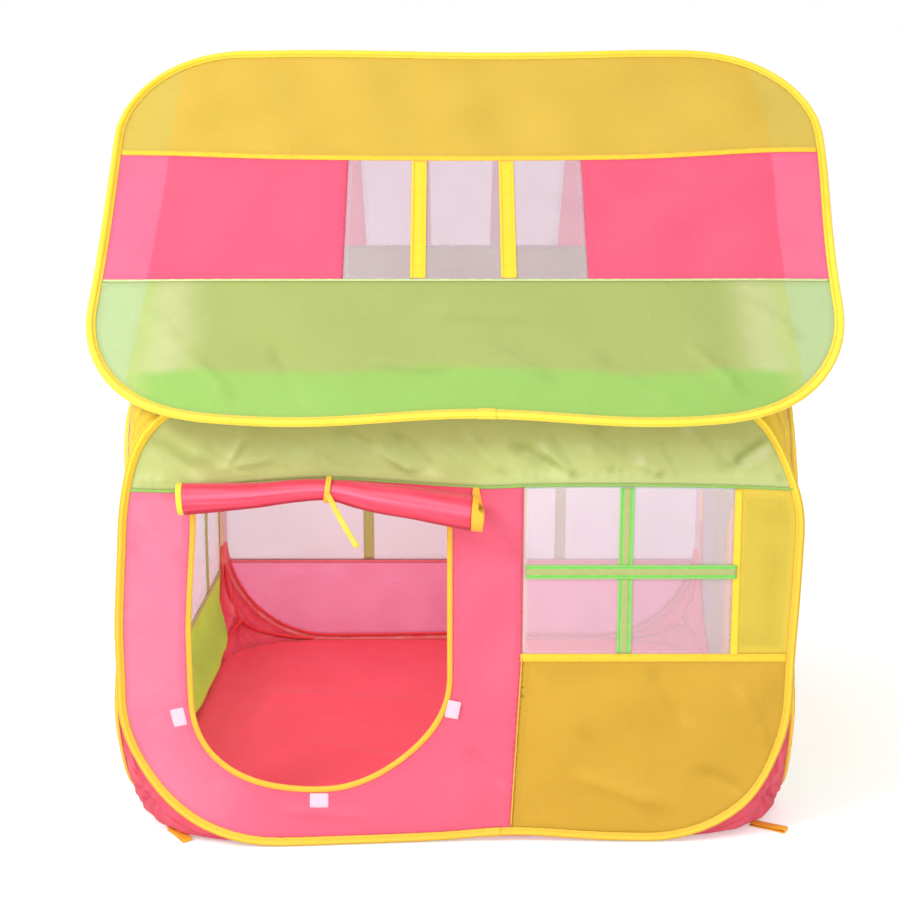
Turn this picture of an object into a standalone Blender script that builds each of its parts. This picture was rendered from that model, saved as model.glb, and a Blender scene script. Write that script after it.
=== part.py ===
"""Kids play tent: six closed spring wire hoops in sewn sleeves, with cloth and clear film panels between.

Four hoops make the walls and two make the roof. Units are metres, +Z is up, the door faces -Y and
the origin is on the ground under the middle of the tent. Each wall and each roof half is drawn flat, in
the plane of its own empty: local X runs along the panel, local Y up it and local Z out of the tent.
"""

import math

import bmesh
import bpy
from mathutils import Matrix, Vector

# The tent as a whole
WALL_WIDTH = 1.090
WALL_DEPTH = 0.980
WALL_HEIGHT = 0.770
WALL_CORNER_RADIUS = 0.240
ROOF_SIDE_OVERHANG = 0.053
ROOF_OVERHANG = 0.060
ROOF_CORNER_RADIUS = 0.210
ROOF_PITCH = math.radians(45.9)

# Hoops, sleeves and cloth
SLEEVE_RADIUS = 0.0065
SLEEVE_WALL = 0.0012
WIRE_RADIUS = 0.0018
CLOTH = 0.0006
GAP = 0.0003
SEAM_TUCK = 0.0020
ARC_STEPS = 7
SLEEVE_FACETS = 9
BORE_FACETS = 7
WIRE_RESOLUTION = 1

# Front wall, from left to right and from the top down, with heights above the ground
HEADER_HEIGHT = 0.173
WINDOW_SILL = 0.316
DOOR_MARGIN = 0.117
DOOR_WIDTH = 0.398
DOOR_PIER = 0.121
PIER_SLANT = 0.016
JAMB_WIDTH = 0.1216
DOOR_BOTTOM = 0.088
DOOR_BEND = 0.275
DOOR_TOP_SEAM = 0.015
DOOR_TOP_RADIUS = 0.012
DOOR_TOP_STEPS = 3
DOOR_BEND_STEPS = 14
DOOR_LEFT_ROUND = 2.7
DOOR_RIGHT_ROUND = 1.85
DOOR_BINDING_WIDTH = 0.0095
DOOR_BINDING_WALL = 0.0006
DOOR_BINDING_LIP = 0.0012
FRONT_BAR_WIDTH = 0.0225
HOOK_WIDTH = 0.030
HOOK_HEIGHT = 0.022
HOOK_THICKNESS = 0.0016
HOOK_BEVEL = 0.0005
HOOK_TILT = math.radians(15.0)
HOOK_LEFT_OUT = 0.0295
HOOK_LEFT_HEIGHT = 0.2117
HOOK_RIGHT_OUT = 0.0068
HOOK_RIGHT_HEIGHT = 0.2255
HOOK_FOOT_SHIFT = -0.0086
HOOK_FOOT_DROP = 0.0200

# Side and rear walls
LEFT_SILL = 0.176
REAR_SILL = 0.190
REAR_BAR_WIDTH = 0.0235
REAR_BAR_LEFT = -0.207
REAR_BAR_RIGHT = 0.222
ARCH_WIDTH = 0.380
ARCH_HEIGHT = 0.400
ARCH_FOOT = 0.060

# Roof halves, measured down the slope from the outer edge of the ridge
ROOF_BAND_TOP = 0.2535
ROOF_WINDOW_HEIGHT = 0.265
ROOF_WINDOW_WIDTH = 0.394
ROOF_BAR_WIDTH = 0.025
ROOF_BAR_LEFT = -0.0765
ROOF_BAR_RIGHT = 0.0700

# Rolled door flap and its tie
FLAP_LEFT_OVERLAP = 0.028
FLAP_RIGHT_OVERLAP = 0.057
ROLL_RADIUS = 0.0215
ROLL_CORE_RADIUS = 0.0060
ROLL_TURNS = 3
ROLL_STEPS_A_TURN = 12
ROLL_STATIONS = 12
ROLL_SAG = 0.034
ROLL_SAG_CURVE = 1.15
ROLL_LEFT_SAG_SHARE = 0.56
ROLL_PINCH_SHARE = 0.28
ROLL_PINCH_REACH = 0.125
ROLL_RIGHT_SWELL_SHARE = 0.16
ROLL_DROP = 0.0020
TIE_WIDTH = 0.0095
TIE_THICKNESS = 0.0008
TIE_TAIL_LENGTH = 0.082
TIE_TAIL_LEAN = math.radians(25.0)
TIE_TAIL_CURVE = 0.006
TIE_TAIL_STEPS = 8
TIE_START = math.radians(95.0)
TIE_WRAP = math.radians(275.0)

# Corner cloths and anchor tabs
GUSSET_START = math.radians(26.0)
GUSSET_END = math.radians(84.0)
GUSSET_ROWS = 7
GUSSET_COLUMNS = 8
TAB_WIDTH = 0.0155
TAB_LENGTH = 0.056
TAB_WEBBING = 0.0012
TAB_SPREAD = 0.0040
TAB_LIFT = 0.0006
TAB_STEPS = 5
TAB_FRONT_LEFT_HEADING = math.radians(-130.0)
TAB_FRONT_RIGHT_HEADING = math.radians(-15.0)
TAB_REAR_LEFT_HEADING = math.radians(165.0)
TAB_REAR_RIGHT_HEADING = math.radians(50.0)

# Places that follow from the sizes above
ROOF_HALF_WIDTH = WALL_WIDTH / 2 + ROOF_SIDE_OVERHANG - SLEEVE_RADIUS
HEADER_SEAM = WALL_HEIGHT - HEADER_HEIGHT
DOOR_LEFT = DOOR_MARGIN - WALL_WIDTH / 2
DOOR_RIGHT = DOOR_LEFT + DOOR_WIDTH
DOOR_MIDDLE = (DOOR_LEFT + DOOR_RIGHT) / 2
DOOR_TOP = HEADER_SEAM - DOOR_TOP_SEAM
WINDOW_LEFT = DOOR_RIGHT + DOOR_PIER
WINDOW_RIGHT = WALL_WIDTH / 2 - JAMB_WIDTH
ROLL_LENGTH = DOOR_WIDTH + FLAP_LEFT_OVERLAP + FLAP_RIGHT_OVERLAP
ROLL_CENTRE = DOOR_MIDDLE + (FLAP_RIGHT_OVERLAP - FLAP_LEFT_OVERLAP) / 2
HOOP_HALF_WIDTH = WALL_WIDTH / 2 - SLEEVE_RADIUS
HALF_SLIT = CLOTH / 2 + GAP
SLEEVE_FLAT = SLEEVE_RADIUS * math.cos((math.pi - math.asin(HALF_SLIT / SLEEVE_RADIUS)) / SLEEVE_FACETS)
BORE_RADIUS = SLEEVE_RADIUS - SLEEVE_WALL
WIRE_OUTSET = WIRE_RADIUS + GAP - BORE_RADIUS * math.cos(math.pi / BORE_FACETS)
HOOP_LOW = SLEEVE_FLAT
HOOP_HIGH = WALL_HEIGHT - SLEEVE_RADIUS
HOOP_SPACING = 2 * SLEEVE_RADIUS + GAP
SIDE_HALF_DEPTH = WALL_DEPTH / 2 - HOOP_SPACING
LAYER = CLOTH + GAP
PIVOT_OFFSET = SLEEVE_RADIUS + GAP
PIVOT_DEPTH = WALL_DEPTH / 2 - HOOP_SPACING / 2
ROOF_RISE = SLEEVE_RADIUS + GAP + CLOTH / 2
ROOF_TOP = (WALL_DEPTH / 2 + ROOF_RISE * math.sin(ROOF_PITCH) - HOOP_SPACING / 2) / math.cos(ROOF_PITCH)
ROOF_LOW = SLEEVE_RADIUS + (ROOF_RISE * math.sin(ROOF_PITCH) - ROOF_OVERHANG) / math.cos(ROOF_PITCH)
ROOF_WINDOW_TOP = ROOF_TOP + SLEEVE_RADIUS - ROOF_BAND_TOP
ROOF_WINDOW_FOOT = ROOF_WINDOW_TOP - ROOF_WINDOW_HEIGHT
CLOTH_INSET = BORE_RADIUS - SEAM_TUCK
FAR = 2 * (WALL_WIDTH + WALL_DEPTH + WALL_HEIGHT)

# Colours as written for a Principled BSDF, from the sRGB colours of the cloth
COLOURS = {
    "pink_cloth": (255, 115, 145),
    "yellow_cloth": (238, 205, 82),
    "green_cloth": (180, 208, 120),
    "olive_cloth": (165, 170, 75),
    "red_cloth": (235, 75, 85),
    "binding_yellow": (255, 222, 60),
    "binding_orange": (255, 195, 60),
    "clear_film": (240, 228, 235),
    "hook_tape": (240, 205, 225),
    "webbing_orange": (255, 195, 30),
    "spring_steel": (150, 152, 156),
}
ROUGHNESS = {"clear_film": 0.12, "spring_steel": 0.35, "webbing_orange": 0.6}
CLOTH_ROUGHNESS = 0.55
FILM_ALPHA = 0.35


def start_scene():
    """Empties the file and makes one collection for the tent and one for its guides."""
    for thing in list(bpy.data.objects):
        bpy.data.objects.remove(thing, do_unlink=True)
    made = []
    for name in ("kids_play_tent", "guides"):
        collection = bpy.data.collections.new(name)
        bpy.context.scene.collection.children.link(collection)
        made.append(collection)
    return made


def linear(channel):
    """One sRGB channel of 0 to 255 as the linear value that a shader takes."""
    value = channel / 255
    return value / 12.92 if value <= 0.04045 else ((value + 0.055) / 1.055) ** 2.4


def make_materials():
    """One Principled material for each cloth, film, tape and wire."""
    made = {}
    for name, colour in COLOURS.items():
        material = bpy.data.materials.new(name)
        material.use_nodes = True
        shader = material.node_tree.nodes["Principled BSDF"]
        shader.inputs["Base Color"].default_value = (*[linear(c) for c in colour], 1.0)
        shader.inputs["Roughness"].default_value = ROUGHNESS.get(name, CLOTH_ROUGHNESS)
        shader.inputs["Metallic"].default_value = 1.0 if name == "spring_steel" else 0.0
        if name == "clear_film":
            shader.inputs["Alpha"].default_value = FILM_ALPHA
        made[name] = material
    return made


TENT, GUIDES = start_scene()
MATERIALS = make_materials()


def empty(name, place, turn=(0.0, 0.0, 0.0), parent=None):
    """A plane or a pivot that pieces are parented to."""
    made = bpy.data.objects.new(name, None)
    made.location = place
    made.rotation_euler = turn
    made.parent = parent
    made.empty_display_size = WALL_CORNER_RADIUS
    TENT.objects.link(made)
    return made


def add(name, data, material, parent=None, collection=None):
    """An object for this data, with its material, under its parent."""
    made = bpy.data.objects.new(name, data)
    if material:
        data.materials.append(MATERIALS[material])
    made.parent = parent
    (collection or TENT).objects.link(made)
    return made


# Outlines, as lists of points that run anticlockwise


def rounded_rectangle(left, right, low, high, radius):
    """A rectangle with round corners, ARC_STEPS chords to each corner."""
    centres = (
        (right - radius, high - radius),
        (left + radius, high - radius),
        (left + radius, low + radius),
        (right - radius, low + radius),
    )
    points = []
    for corner, (x, y) in enumerate(centres):
        for step in range(ARC_STEPS + 1):
            angle = math.pi / 2 * (corner + step / ARC_STEPS)
            points.append((x + radius * math.cos(angle), y + radius * math.sin(angle)))
    return points


def inset_rectangle(left, right, low, high, radius, inset):
    """The same rounded rectangle, smaller by inset all round."""
    return rounded_rectangle(left + inset, right - inset, low + inset, high - inset, radius - inset)


def cut(points, place, towards):
    """What is left of a convex outline on the side of a line that towards points to."""
    place, towards = Vector(place), Vector(towards).normalized()
    kept = []
    for index, point in enumerate(points):
        here, before = Vector(point), Vector(points[index - 1])
        inside, was_inside = [(p - place).dot(towards) for p in (here, before)]
        if inside * was_inside < 0:
            kept.append(tuple(before.lerp(here, was_inside / (was_inside - inside))))
        if inside >= 0:
            kept.append(tuple(here))
    return kept


def cut_box(points, left=-FAR, right=FAR, low=-FAR, high=FAR):
    """A convex outline cut to a box, with half the seam gap kept free on each cut side."""
    seam = GAP / 2
    points = cut(points, (left + seam, 0.0), (1, 0))
    points = cut(points, (right - seam, 0.0), (-1, 0))
    points = cut(points, (0.0, low + seam), (0, 1))
    return cut(points, (0.0, high - seam), (0, -1))


def wall_outline(half_width, inset=0.0):
    """The line of a wall hoop, or of the cloth that fills it."""
    return inset_rectangle(-half_width, half_width, HOOP_LOW, HOOP_HIGH, WALL_CORNER_RADIUS, inset)


def roof_outline(inset=0.0):
    """The line of a roof hoop, or of the cloth that fills it, measured up the slope."""
    return inset_rectangle(-ROOF_HALF_WIDTH, ROOF_HALF_WIDTH, ROOF_LOW, ROOF_TOP, ROOF_CORNER_RADIUS, inset)


def door_outline():
    """The door's edge: square at the top, straight sides and a round foot, fuller on its left."""
    half = DOOR_WIDTH / 2
    depth = DOOR_BEND - DOOR_BOTTOM
    points = []
    for side in (1, -1):
        centre = DOOR_MIDDLE + side * (half - DOOR_TOP_RADIUS)
        for step in range(DOOR_TOP_STEPS + 1):
            angle = math.pi / 2 * (step / DOOR_TOP_STEPS + (side < 0))
            points.append((centre + DOOR_TOP_RADIUS * math.cos(angle),
                           DOOR_TOP - DOOR_TOP_RADIUS + DOOR_TOP_RADIUS * math.sin(angle)))
    for step in range(DOOR_BEND_STEPS + 1):
        angle = math.pi * (1 + step / DOOR_BEND_STEPS)
        side = 1 if math.cos(angle) > 0 else -1
        power = 2 / (DOOR_RIGHT_ROUND if side > 0 else DOOR_LEFT_ROUND)
        across = side * abs(math.cos(angle)) ** power
        points.append((DOOR_MIDDLE + half * across, DOOR_BEND - depth * abs(math.sin(angle)) ** power))
    return points


# Pieces


def poly_spline(curve, points, cyclic=True):
    """One straight-sided spline through points of two or three numbers."""
    spline = curve.splines.new("POLY")
    spline.points.add(len(points) - 1)
    for slot, point in zip(spline.points, points):
        slot.co = (*point, 1.0) if len(point) == 3 else (*point, 0.0, 1.0)
    spline.use_cyclic_u = cyclic
    return spline


def panel(name, outlines, material, parent, layer=0, thickness=CLOTH, lift=0.0):
    """A flat piece of cloth, film or tape: a filled outline, with later outlines cut out of it."""
    curve = bpy.data.curves.new(name, "CURVE")
    curve.dimensions = "2D"
    curve.fill_mode = "BOTH"
    curve.extrude = thickness / 2
    for points in outlines:
        poly_spline(curve, points)
    made = add(name, curve, material, parent)
    made.location.z = lift + layer * LAYER
    return made


def bar(name, centre, width, low, high, material, parent, layer=1, lift=0.0, across=False):
    """A straight tape sewn on a window, upright or across."""
    box = (centre - width / 2, low, centre + width / 2, high)
    left, bottom, right, top = (box[1], box[0], box[3], box[2]) if across else box
    outline = [(left, bottom), (right, bottom), (right, top), (left, top)]
    return panel(name, [outline], material, parent, layer, lift=lift)


def sleeve_profile():
    """The section of a hoop's sleeve: a tube with a slit on its inner side, where the cloth goes in."""
    points = []
    for radius, facets, way in ((SLEEVE_RADIUS, SLEEVE_FACETS, 1), (BORE_RADIUS, BORE_FACETS, -1)):
        start = math.asin(HALF_SLIT / radius)
        turn = (2 * math.pi - 2 * start) / facets
        for step in range(facets + 1):
            angle = (start + turn * step) * way
            points.append((radius * math.cos(angle), -radius * math.sin(angle)))
    return points


def lipped_profile():
    """The section of the tape folded over the door's cut edge, its slit open away from the doorway."""
    half = HALF_SLIT + DOOR_BINDING_WALL
    depth = DOOR_BINDING_WIDTH - DOOR_BINDING_LIP
    fold = DOOR_BINDING_LIP - DOOR_BINDING_WALL
    upper = [(-depth, HALF_SLIT), (-depth, half), (DOOR_BINDING_LIP, half)]
    lower = [(x, -y) for x, y in reversed(upper)]
    return upper + lower + [(fold, -HALF_SLIT), (fold, HALF_SLIT)]


def swept(name, path, profile, material, parent, lift=0.0):
    """A section carried round a closed path, by a flat curve with a bevel object."""
    guide = bpy.data.curves.new(name + "_section", "CURVE")
    guide.dimensions = "2D"
    poly_spline(guide, profile)
    section = add(name + "_section", guide, None, collection=GUIDES)
    section.hide_render = True
    section.display_type = "WIRE"
    curve = bpy.data.curves.new(name, "CURVE")
    curve.dimensions = "2D"
    curve.fill_mode = "NONE"
    curve.bevel_mode = "OBJECT"
    curve.bevel_object = section
    poly_spline(curve, path)
    made = add(name, curve, material, parent)
    made.location.z = lift
    return made


def hoop(side, path_outline, inner_line, binding, parent, lift=0.0):
    """A closed wire and the sleeve it lies in, the wire pulled against the sleeve's outer side."""
    curve = bpy.data.curves.new(side + "_hoop_wire", "CURVE")
    curve.dimensions = "3D"
    curve.fill_mode = "FULL"
    curve.bevel_depth = WIRE_RADIUS
    curve.bevel_resolution = WIRE_RESOLUTION
    poly_spline(curve, [(x, y, 0.0) for x, y in inner_line])
    wire = add(side + "_hoop_wire", curve, "spring_steel", parent)
    wire.location.z = lift
    swept(side + "_binding", path_outline, sleeve_profile(), binding, parent, lift)


def wall_hoop(side, half_width, binding, parent):
    """The hoop of one wall."""
    hoop(side, wall_outline(half_width), wall_outline(half_width, WIRE_OUTSET), binding, parent)


def front_wall():
    """The front wall: header, door panel, window, jamb and lower panel inside one hoop."""
    plane = empty("front_wall_plane", (0.0, -WALL_DEPTH / 2, 0.0), (math.pi / 2, 0.0, 0.0))
    cloth = wall_outline(HOOP_HALF_WIDTH, CLOTH_INSET)
    wall_hoop("front", HOOP_HALF_WIDTH, "binding_yellow", plane)
    panel("front_header", [cut_box(cloth, low=HEADER_SEAM)], "green_cloth", plane)

    def beside_door(points, side):
        """The cloth on one side of the seam that leans from the window's corner to the hoop's foot."""
        foot = Vector((WINDOW_LEFT - PIER_SLANT, HOOP_LOW))
        along = Vector((WINDOW_LEFT, WINDOW_SILL)) - foot
        away = Vector((along.y, -along.x)).normalized() * side
        return cut(points, foot + away * GAP / 2, away)

    door_side = cut_box(beside_door(cloth, -1), right=WINDOW_LEFT, high=HEADER_SEAM)
    panel("door_panel", [door_side, door_outline()], "pink_cloth", plane)
    swept("door_edging", door_outline(), lipped_profile(), "binding_orange", plane)
    window = cut_box(cloth, WINDOW_LEFT, WINDOW_RIGHT, WINDOW_SILL, HEADER_SEAM)
    panel("front_window_film", [window], "clear_film", plane)
    panel("front_jamb", [cut_box(cloth, WINDOW_RIGHT, FAR, WINDOW_SILL, HEADER_SEAM)], "yellow_cloth", plane)
    panel("front_lower_panel", [cut_box(beside_door(cloth, 1), high=WINDOW_SILL)], "yellow_cloth", plane)
    middle = (WINDOW_LEFT + WINDOW_RIGHT) / 2
    bar("front_bar_upright", middle, FRONT_BAR_WIDTH, WINDOW_SILL, HEADER_SEAM, "green_cloth", plane)
    bar("front_bar_cross", (WINDOW_SILL + HEADER_SEAM) / 2, FRONT_BAR_WIDTH, WINDOW_LEFT, WINDOW_RIGHT,
        "green_cloth", plane, layer=2, across=True)
    on_cloth = CLOTH / 2 + GAP
    on_binding = HALF_SLIT + DOOR_BINDING_WALL + GAP
    hook_patch("hook_patch_left", DOOR_LEFT - HOOK_LEFT_OUT, HOOK_LEFT_HEIGHT, on_cloth, -HOOK_TILT, plane)
    hook_patch("hook_patch_foot", DOOR_MIDDLE + HOOK_FOOT_SHIFT, DOOR_BOTTOM - HOOK_FOOT_DROP, on_cloth, 0.0,
               plane)
    hook_patch("hook_patch_right", DOOR_RIGHT + HOOK_RIGHT_OUT, HOOK_RIGHT_HEIGHT, on_binding, HOOK_TILT,
               plane)
    return plane


def hook_patch(name, x, height, back, turn, parent):
    """A rectangle of hook tape sewn at the door's edge, with softened corners."""
    mesh = bpy.data.meshes.new(name)
    block = bmesh.new()
    bmesh.ops.create_cube(block, size=1.0)
    size = (HOOK_WIDTH, HOOK_HEIGHT, HOOK_THICKNESS)
    bmesh.ops.scale(block, vec=size, verts=block.verts)
    bmesh.ops.bevel(block, geom=block.edges, offset=HOOK_BEVEL, segments=1, affect="EDGES")
    block.to_mesh(mesh)
    block.free()
    made = add(name, mesh, "hook_tape", parent)
    made.location = (x, height, back + HOOK_THICKNESS / 2)
    made.rotation_euler = (0.0, 0.0, turn)


def gable(name, plane):
    """The cloth between a side hoop's top and the roof halves, cut off below their crossing corners."""
    under = ROOF_RISE - CLOTH / 2 - GAP
    foot = HOOP_HIGH + SLEEVE_RADIUS + GAP
    slope = math.tan(ROOF_PITCH)
    at_wall = HOOP_HIGH + under / math.cos(ROOF_PITCH)
    half_foot = WALL_DEPTH / 2 - max((foot - at_wall) / slope, HOOP_SPACING)
    into_corner = ROOF_CORNER_RADIUS - (ROOF_HALF_WIDTH - HOOP_HALF_WIDTH)
    lean = math.sqrt(ROOF_CORNER_RADIUS ** 2 - into_corner ** 2)
    crossing = ROOF_TOP - ROOF_CORNER_RADIUS + lean
    along = SLEEVE_RADIUS * ROOF_CORNER_RADIUS / lean
    below = math.hypot(along * math.sin(ROOF_PITCH), SLEEVE_RADIUS * math.cos(ROOF_PITCH)) + GAP
    top_on_slope = crossing - below / math.sin(ROOF_PITCH)
    half_top = WALL_DEPTH / 2 + ROOF_RISE * math.sin(ROOF_PITCH) - top_on_slope * math.cos(ROOF_PITCH)
    shoulder = at_wall + (WALL_DEPTH / 2 - half_foot) * slope
    top = at_wall + (WALL_DEPTH / 2 - half_top) * slope
    outline = [(-half_foot, foot), (half_foot, foot), (half_foot, shoulder), (half_top, top),
               (-half_top, top), (-half_foot, shoulder)]
    panel(name, [outline], "yellow_cloth", plane)


def left_wall(pivot):
    """The left wall: a clear window over a low green panel, under a yellow gable."""
    place = Vector((-HOOP_HALF_WIDTH, 0.0, 0.0)) - pivot.location
    plane = empty("left_wall_plane", place, (math.pi / 2, 0.0, -math.pi / 2), pivot)
    cloth = wall_outline(SIDE_HALF_DEPTH, CLOTH_INSET)
    wall_hoop("left", SIDE_HALF_DEPTH, "binding_yellow", plane)
    panel("left_window_film", [cut_box(cloth, low=LEFT_SILL)], "clear_film", plane)
    panel("left_lower_panel", [cut_box(cloth, high=LEFT_SILL)], "olive_cloth", plane)
    gable("left_gable", plane)


def arch_outline(grow=0.0):
    """A straight-sided arch with a half round head."""
    half = ARCH_WIDTH / 2 + grow
    spring_line = ARCH_FOOT + ARCH_HEIGHT - ARCH_WIDTH / 2
    points = [(-half, ARCH_FOOT - grow), (half, ARCH_FOOT - grow)]
    for step in range(2 * ARC_STEPS + 1):
        angle = math.pi * step / (2 * ARC_STEPS)
        points.append((half * math.cos(angle), spring_line + half * math.sin(angle)))
    return points


def right_wall(pivot):
    """The right wall: green cloth with a yellow arched panel let into it, under a yellow gable."""
    place = Vector((HOOP_HALF_WIDTH, 0.0, 0.0)) - pivot.location
    plane = empty("right_wall_plane", place, (math.pi / 2, 0.0, math.pi / 2), pivot)
    cloth = wall_outline(SIDE_HALF_DEPTH, CLOTH_INSET)
    wall_hoop("right", SIDE_HALF_DEPTH, "binding_yellow", plane)
    panel("right_wall_cloth", [cloth, arch_outline(GAP / 2)], "olive_cloth", plane)
    panel("right_arch_panel", [arch_outline(-GAP / 2)], "yellow_cloth", plane)
    gable("right_gable", plane)


def rear_wall(pivot):
    """The rear wall: one wide window with two upright bars, over a low pink panel."""
    place = Vector((0.0, WALL_DEPTH / 2, 0.0)) - pivot.location
    plane = empty("rear_wall_plane", place, (math.pi / 2, 0.0, math.pi), pivot)
    cloth = wall_outline(HOOP_HALF_WIDTH, CLOTH_INSET)
    wall_hoop("rear", HOOP_HALF_WIDTH, "binding_yellow", plane)
    panel("rear_window_film", [cut_box(cloth, low=REAR_SILL)], "clear_film", plane)
    panel("rear_lower_panel", [cut_box(cloth, high=REAR_SILL)], "pink_cloth", plane)
    top = HOOP_HIGH - SLEEVE_RADIUS - GAP
    for name, centre in (("rear_bar_left", REAR_BAR_LEFT), ("rear_bar_right", REAR_BAR_RIGHT)):
        bar(name, -centre, REAR_BAR_WIDTH, REAR_SILL, top, "olive_cloth", plane)
    return plane


def roof_half(side, place, turn, parent):
    """One sloping roof half: a ridge band, a window with two bars between pink cloths, and an eave band."""
    pivot = empty(side + "_roof_pivot", place, (ROOF_PITCH, 0.0, turn), parent)
    cloth = roof_outline(CLOTH_INSET)
    half = ROOF_WINDOW_WIDTH / 2
    hoop(side + "_roof", roof_outline(), roof_outline(WIRE_OUTSET), "binding_yellow", pivot, ROOF_RISE)
    pieces = (
        ("ridge_band", "yellow_cloth", cut_box(cloth, low=ROOF_WINDOW_TOP)),
        ("eave_band", "green_cloth", cut_box(cloth, high=ROOF_WINDOW_FOOT)),
        ("cheek_left", "pink_cloth", cut_box(cloth, -FAR, -half, ROOF_WINDOW_FOOT, ROOF_WINDOW_TOP)),
        ("cheek_right", "pink_cloth", cut_box(cloth, half, FAR, ROOF_WINDOW_FOOT, ROOF_WINDOW_TOP)),
        ("window_film", "clear_film", cut_box(cloth, -half, half, ROOF_WINDOW_FOOT, ROOF_WINDOW_TOP)),
    )
    for name, material, outline in pieces:
        panel(f"{side}_roof_{name}", [outline], material, pivot, lift=ROOF_RISE)
    for name, centre in (("left", ROOF_BAR_LEFT), ("right", ROOF_BAR_RIGHT)):
        bar(f"{side}_roof_bar_{name}", centre, ROOF_BAR_WIDTH, ROOF_WINDOW_FOOT, ROOF_WINDOW_TOP,
            "yellow_cloth", pivot, lift=ROOF_RISE)


# Corner cloths, drawn for the front left corner and mirrored to the others


def corner_row(angle, upper):
    """One level row of a corner cloth, from behind the front hoop's arc to inside the side hoop's arc."""
    back = SLEEVE_RADIUS + GAP + CLOTH / 2
    run_in = WALL_CORNER_RADIUS * (1 - math.cos(angle))
    drop = WALL_CORNER_RADIUS * (1 - math.sin(angle))
    height = HOOP_HIGH - drop if upper else HOOP_LOW + drop
    left, front = -HOOP_HALF_WIDTH + back, -WALL_DEPTH / 2 + back
    start = Vector((-HOOP_HALF_WIDTH + run_in, front, height))
    bend = Vector((left, front, height))
    end = Vector((left, -SIDE_HALF_DEPTH + run_in, height))
    row = []
    for column in range(GUSSET_COLUMNS + 1):
        share = column / GUSSET_COLUMNS
        row.append(start.lerp(bend, share).lerp(bend.lerp(end, share), share))
    return row


def corner_rows(upper):
    """All the rows of a corner cloth, from near the middle of the wall's height to the floor or the roof."""
    rows = []
    for row in range(GUSSET_ROWS + 1):
        angle = GUSSET_START + (GUSSET_END - GUSSET_START) * row / GUSSET_ROWS
        rows.append(corner_row(angle, upper))
    return rows


def solid_cloth(mesh_maker, name, material, parent):
    """An open surface given the cloth's thickness, its edges closed."""
    mesh_maker.normal_update()
    mesh = bpy.data.meshes.new(name)
    mesh_maker.to_mesh(mesh)
    mesh_maker.free()
    made = add(name, mesh, material, parent)
    solidify = made.modifiers.new("cloth", "SOLIDIFY")
    solidify.thickness = CLOTH
    solidify.offset = 0.0
    return made


def fill_grid(work, rows):
    """Faces between rows of vertices that are already in the mesh."""
    for low, high in zip(rows, rows[1:]):
        for column in range(len(low) - 1):
            work.faces.new((low[column], low[column + 1], high[column + 1], high[column]))


def top_gusset(name, mirror_x, mirror_y, parent):
    """The cloth that closes one upper corner between two wall hoops."""
    work = bmesh.new()
    rows = []
    for row in corner_rows(True):
        rows.append([work.verts.new((p.x * mirror_x, p.y * mirror_y, p.z)) for p in row])
    fill_grid(work, rows)
    bmesh.ops.recalc_face_normals(work, faces=work.faces)
    if parent:
        bmesh.ops.translate(work, verts=work.verts, vec=-parent.matrix_world.translation)
    return solid_cloth(work, name, "yellow_cloth", parent)


def floor_cloth():
    """The floor with its four sewn corner cloths, which rise between the wall hoops."""
    work = bmesh.new()
    rim = []
    for mirror_x, mirror_y in ((-1, -1), (1, -1), (1, 1), (-1, 1)):
        rows = []
        for row in corner_rows(False):
            rows.append([work.verts.new((-p.x * mirror_x, -p.y * mirror_y, p.z)) for p in row])
        fill_grid(work, rows)
        foot = rows[-1]
        rim += foot[::-1] if mirror_x == mirror_y else foot
    hub = work.verts.new((0.0, 0.0, rim[0].co.z))
    for here, following in zip(rim, rim[1:] + rim[:1]):
        work.faces.new((hub, here, following))
    bmesh.ops.recalc_face_normals(work, faces=work.faces)
    return solid_cloth(work, "floor_cloth", "red_cloth", None)


def strap_outline(length, spread, thickness):
    """A webbing loop seen from the side: two layers that meet in a round end."""
    inner, outer = spread / 2, spread / 2 + thickness
    points = []
    for radius, way in ((outer, 1), (inner, -1)):
        for step in range(TAB_STEPS + 1):
            angle = way * (math.pi * step / TAB_STEPS - math.pi / 2)
            points.append((length - outer + radius * math.cos(angle), radius * math.sin(angle)))
        end = (0.0, way * radius)
        points.append(end)
        if way > 0:
            points.append((0.0, inner))
    points.append((0.0, -outer))
    return points


def anchor_tab(name, corner, heading, parent):
    """A folded webbing loop sewn under a floor corner, lying on the ground."""
    foot = corner_row(GUSSET_END, False)[GUSSET_COLUMNS // 2]
    along = Vector((math.cos(heading), math.sin(heading)))
    clear = CLOTH / 2 + GAP
    place = Vector((-foot.x * corner[0], -foot.y * corner[1], 0.0))
    place += Vector((along.x, along.y, 0.0)) * clear
    half = TAB_SPREAD / 2 + TAB_WEBBING
    place.z = half + TAB_LIFT
    curve = bpy.data.curves.new(name, "CURVE")
    curve.dimensions = "2D"
    curve.fill_mode = "BOTH"
    curve.extrude = TAB_WIDTH / 2
    poly_spline(curve, strap_outline(TAB_LENGTH, TAB_SPREAD, TAB_WEBBING))
    made = add(name, curve, "webbing_orange", parent)
    made.location = place - (parent.matrix_world.translation if parent else Vector())
    made.rotation_euler = (math.pi / 2, 0.0, heading)


# Door flap


def roll_droop(x):
    """How far the roll hangs below its tied middle at a place along it."""
    reach = abs(x - ROLL_CENTRE) / (ROLL_LENGTH / 2)
    return ROLL_SAG * reach ** ROLL_SAG_CURVE * (1 if x > ROLL_CENTRE else ROLL_LEFT_SAG_SHARE)


def roll_swell(x):
    """The roll's size along it as a share of its full size: drawn in at the tie, fuller on the right."""
    drawn_in = ROLL_PINCH_SHARE * math.exp(-(((x - ROLL_CENTRE) / ROLL_PINCH_REACH) ** 2))
    fuller = ROLL_RIGHT_SWELL_SHARE * max(x - ROLL_CENTRE, 0.0) / (ROLL_LENGTH / 2)
    return 1 - drawn_in + fuller


ROLL_BACK = CLOTH / 2 + DOOR_BINDING_WALL + 3 * GAP + TIE_THICKNESS + CLOTH


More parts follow.
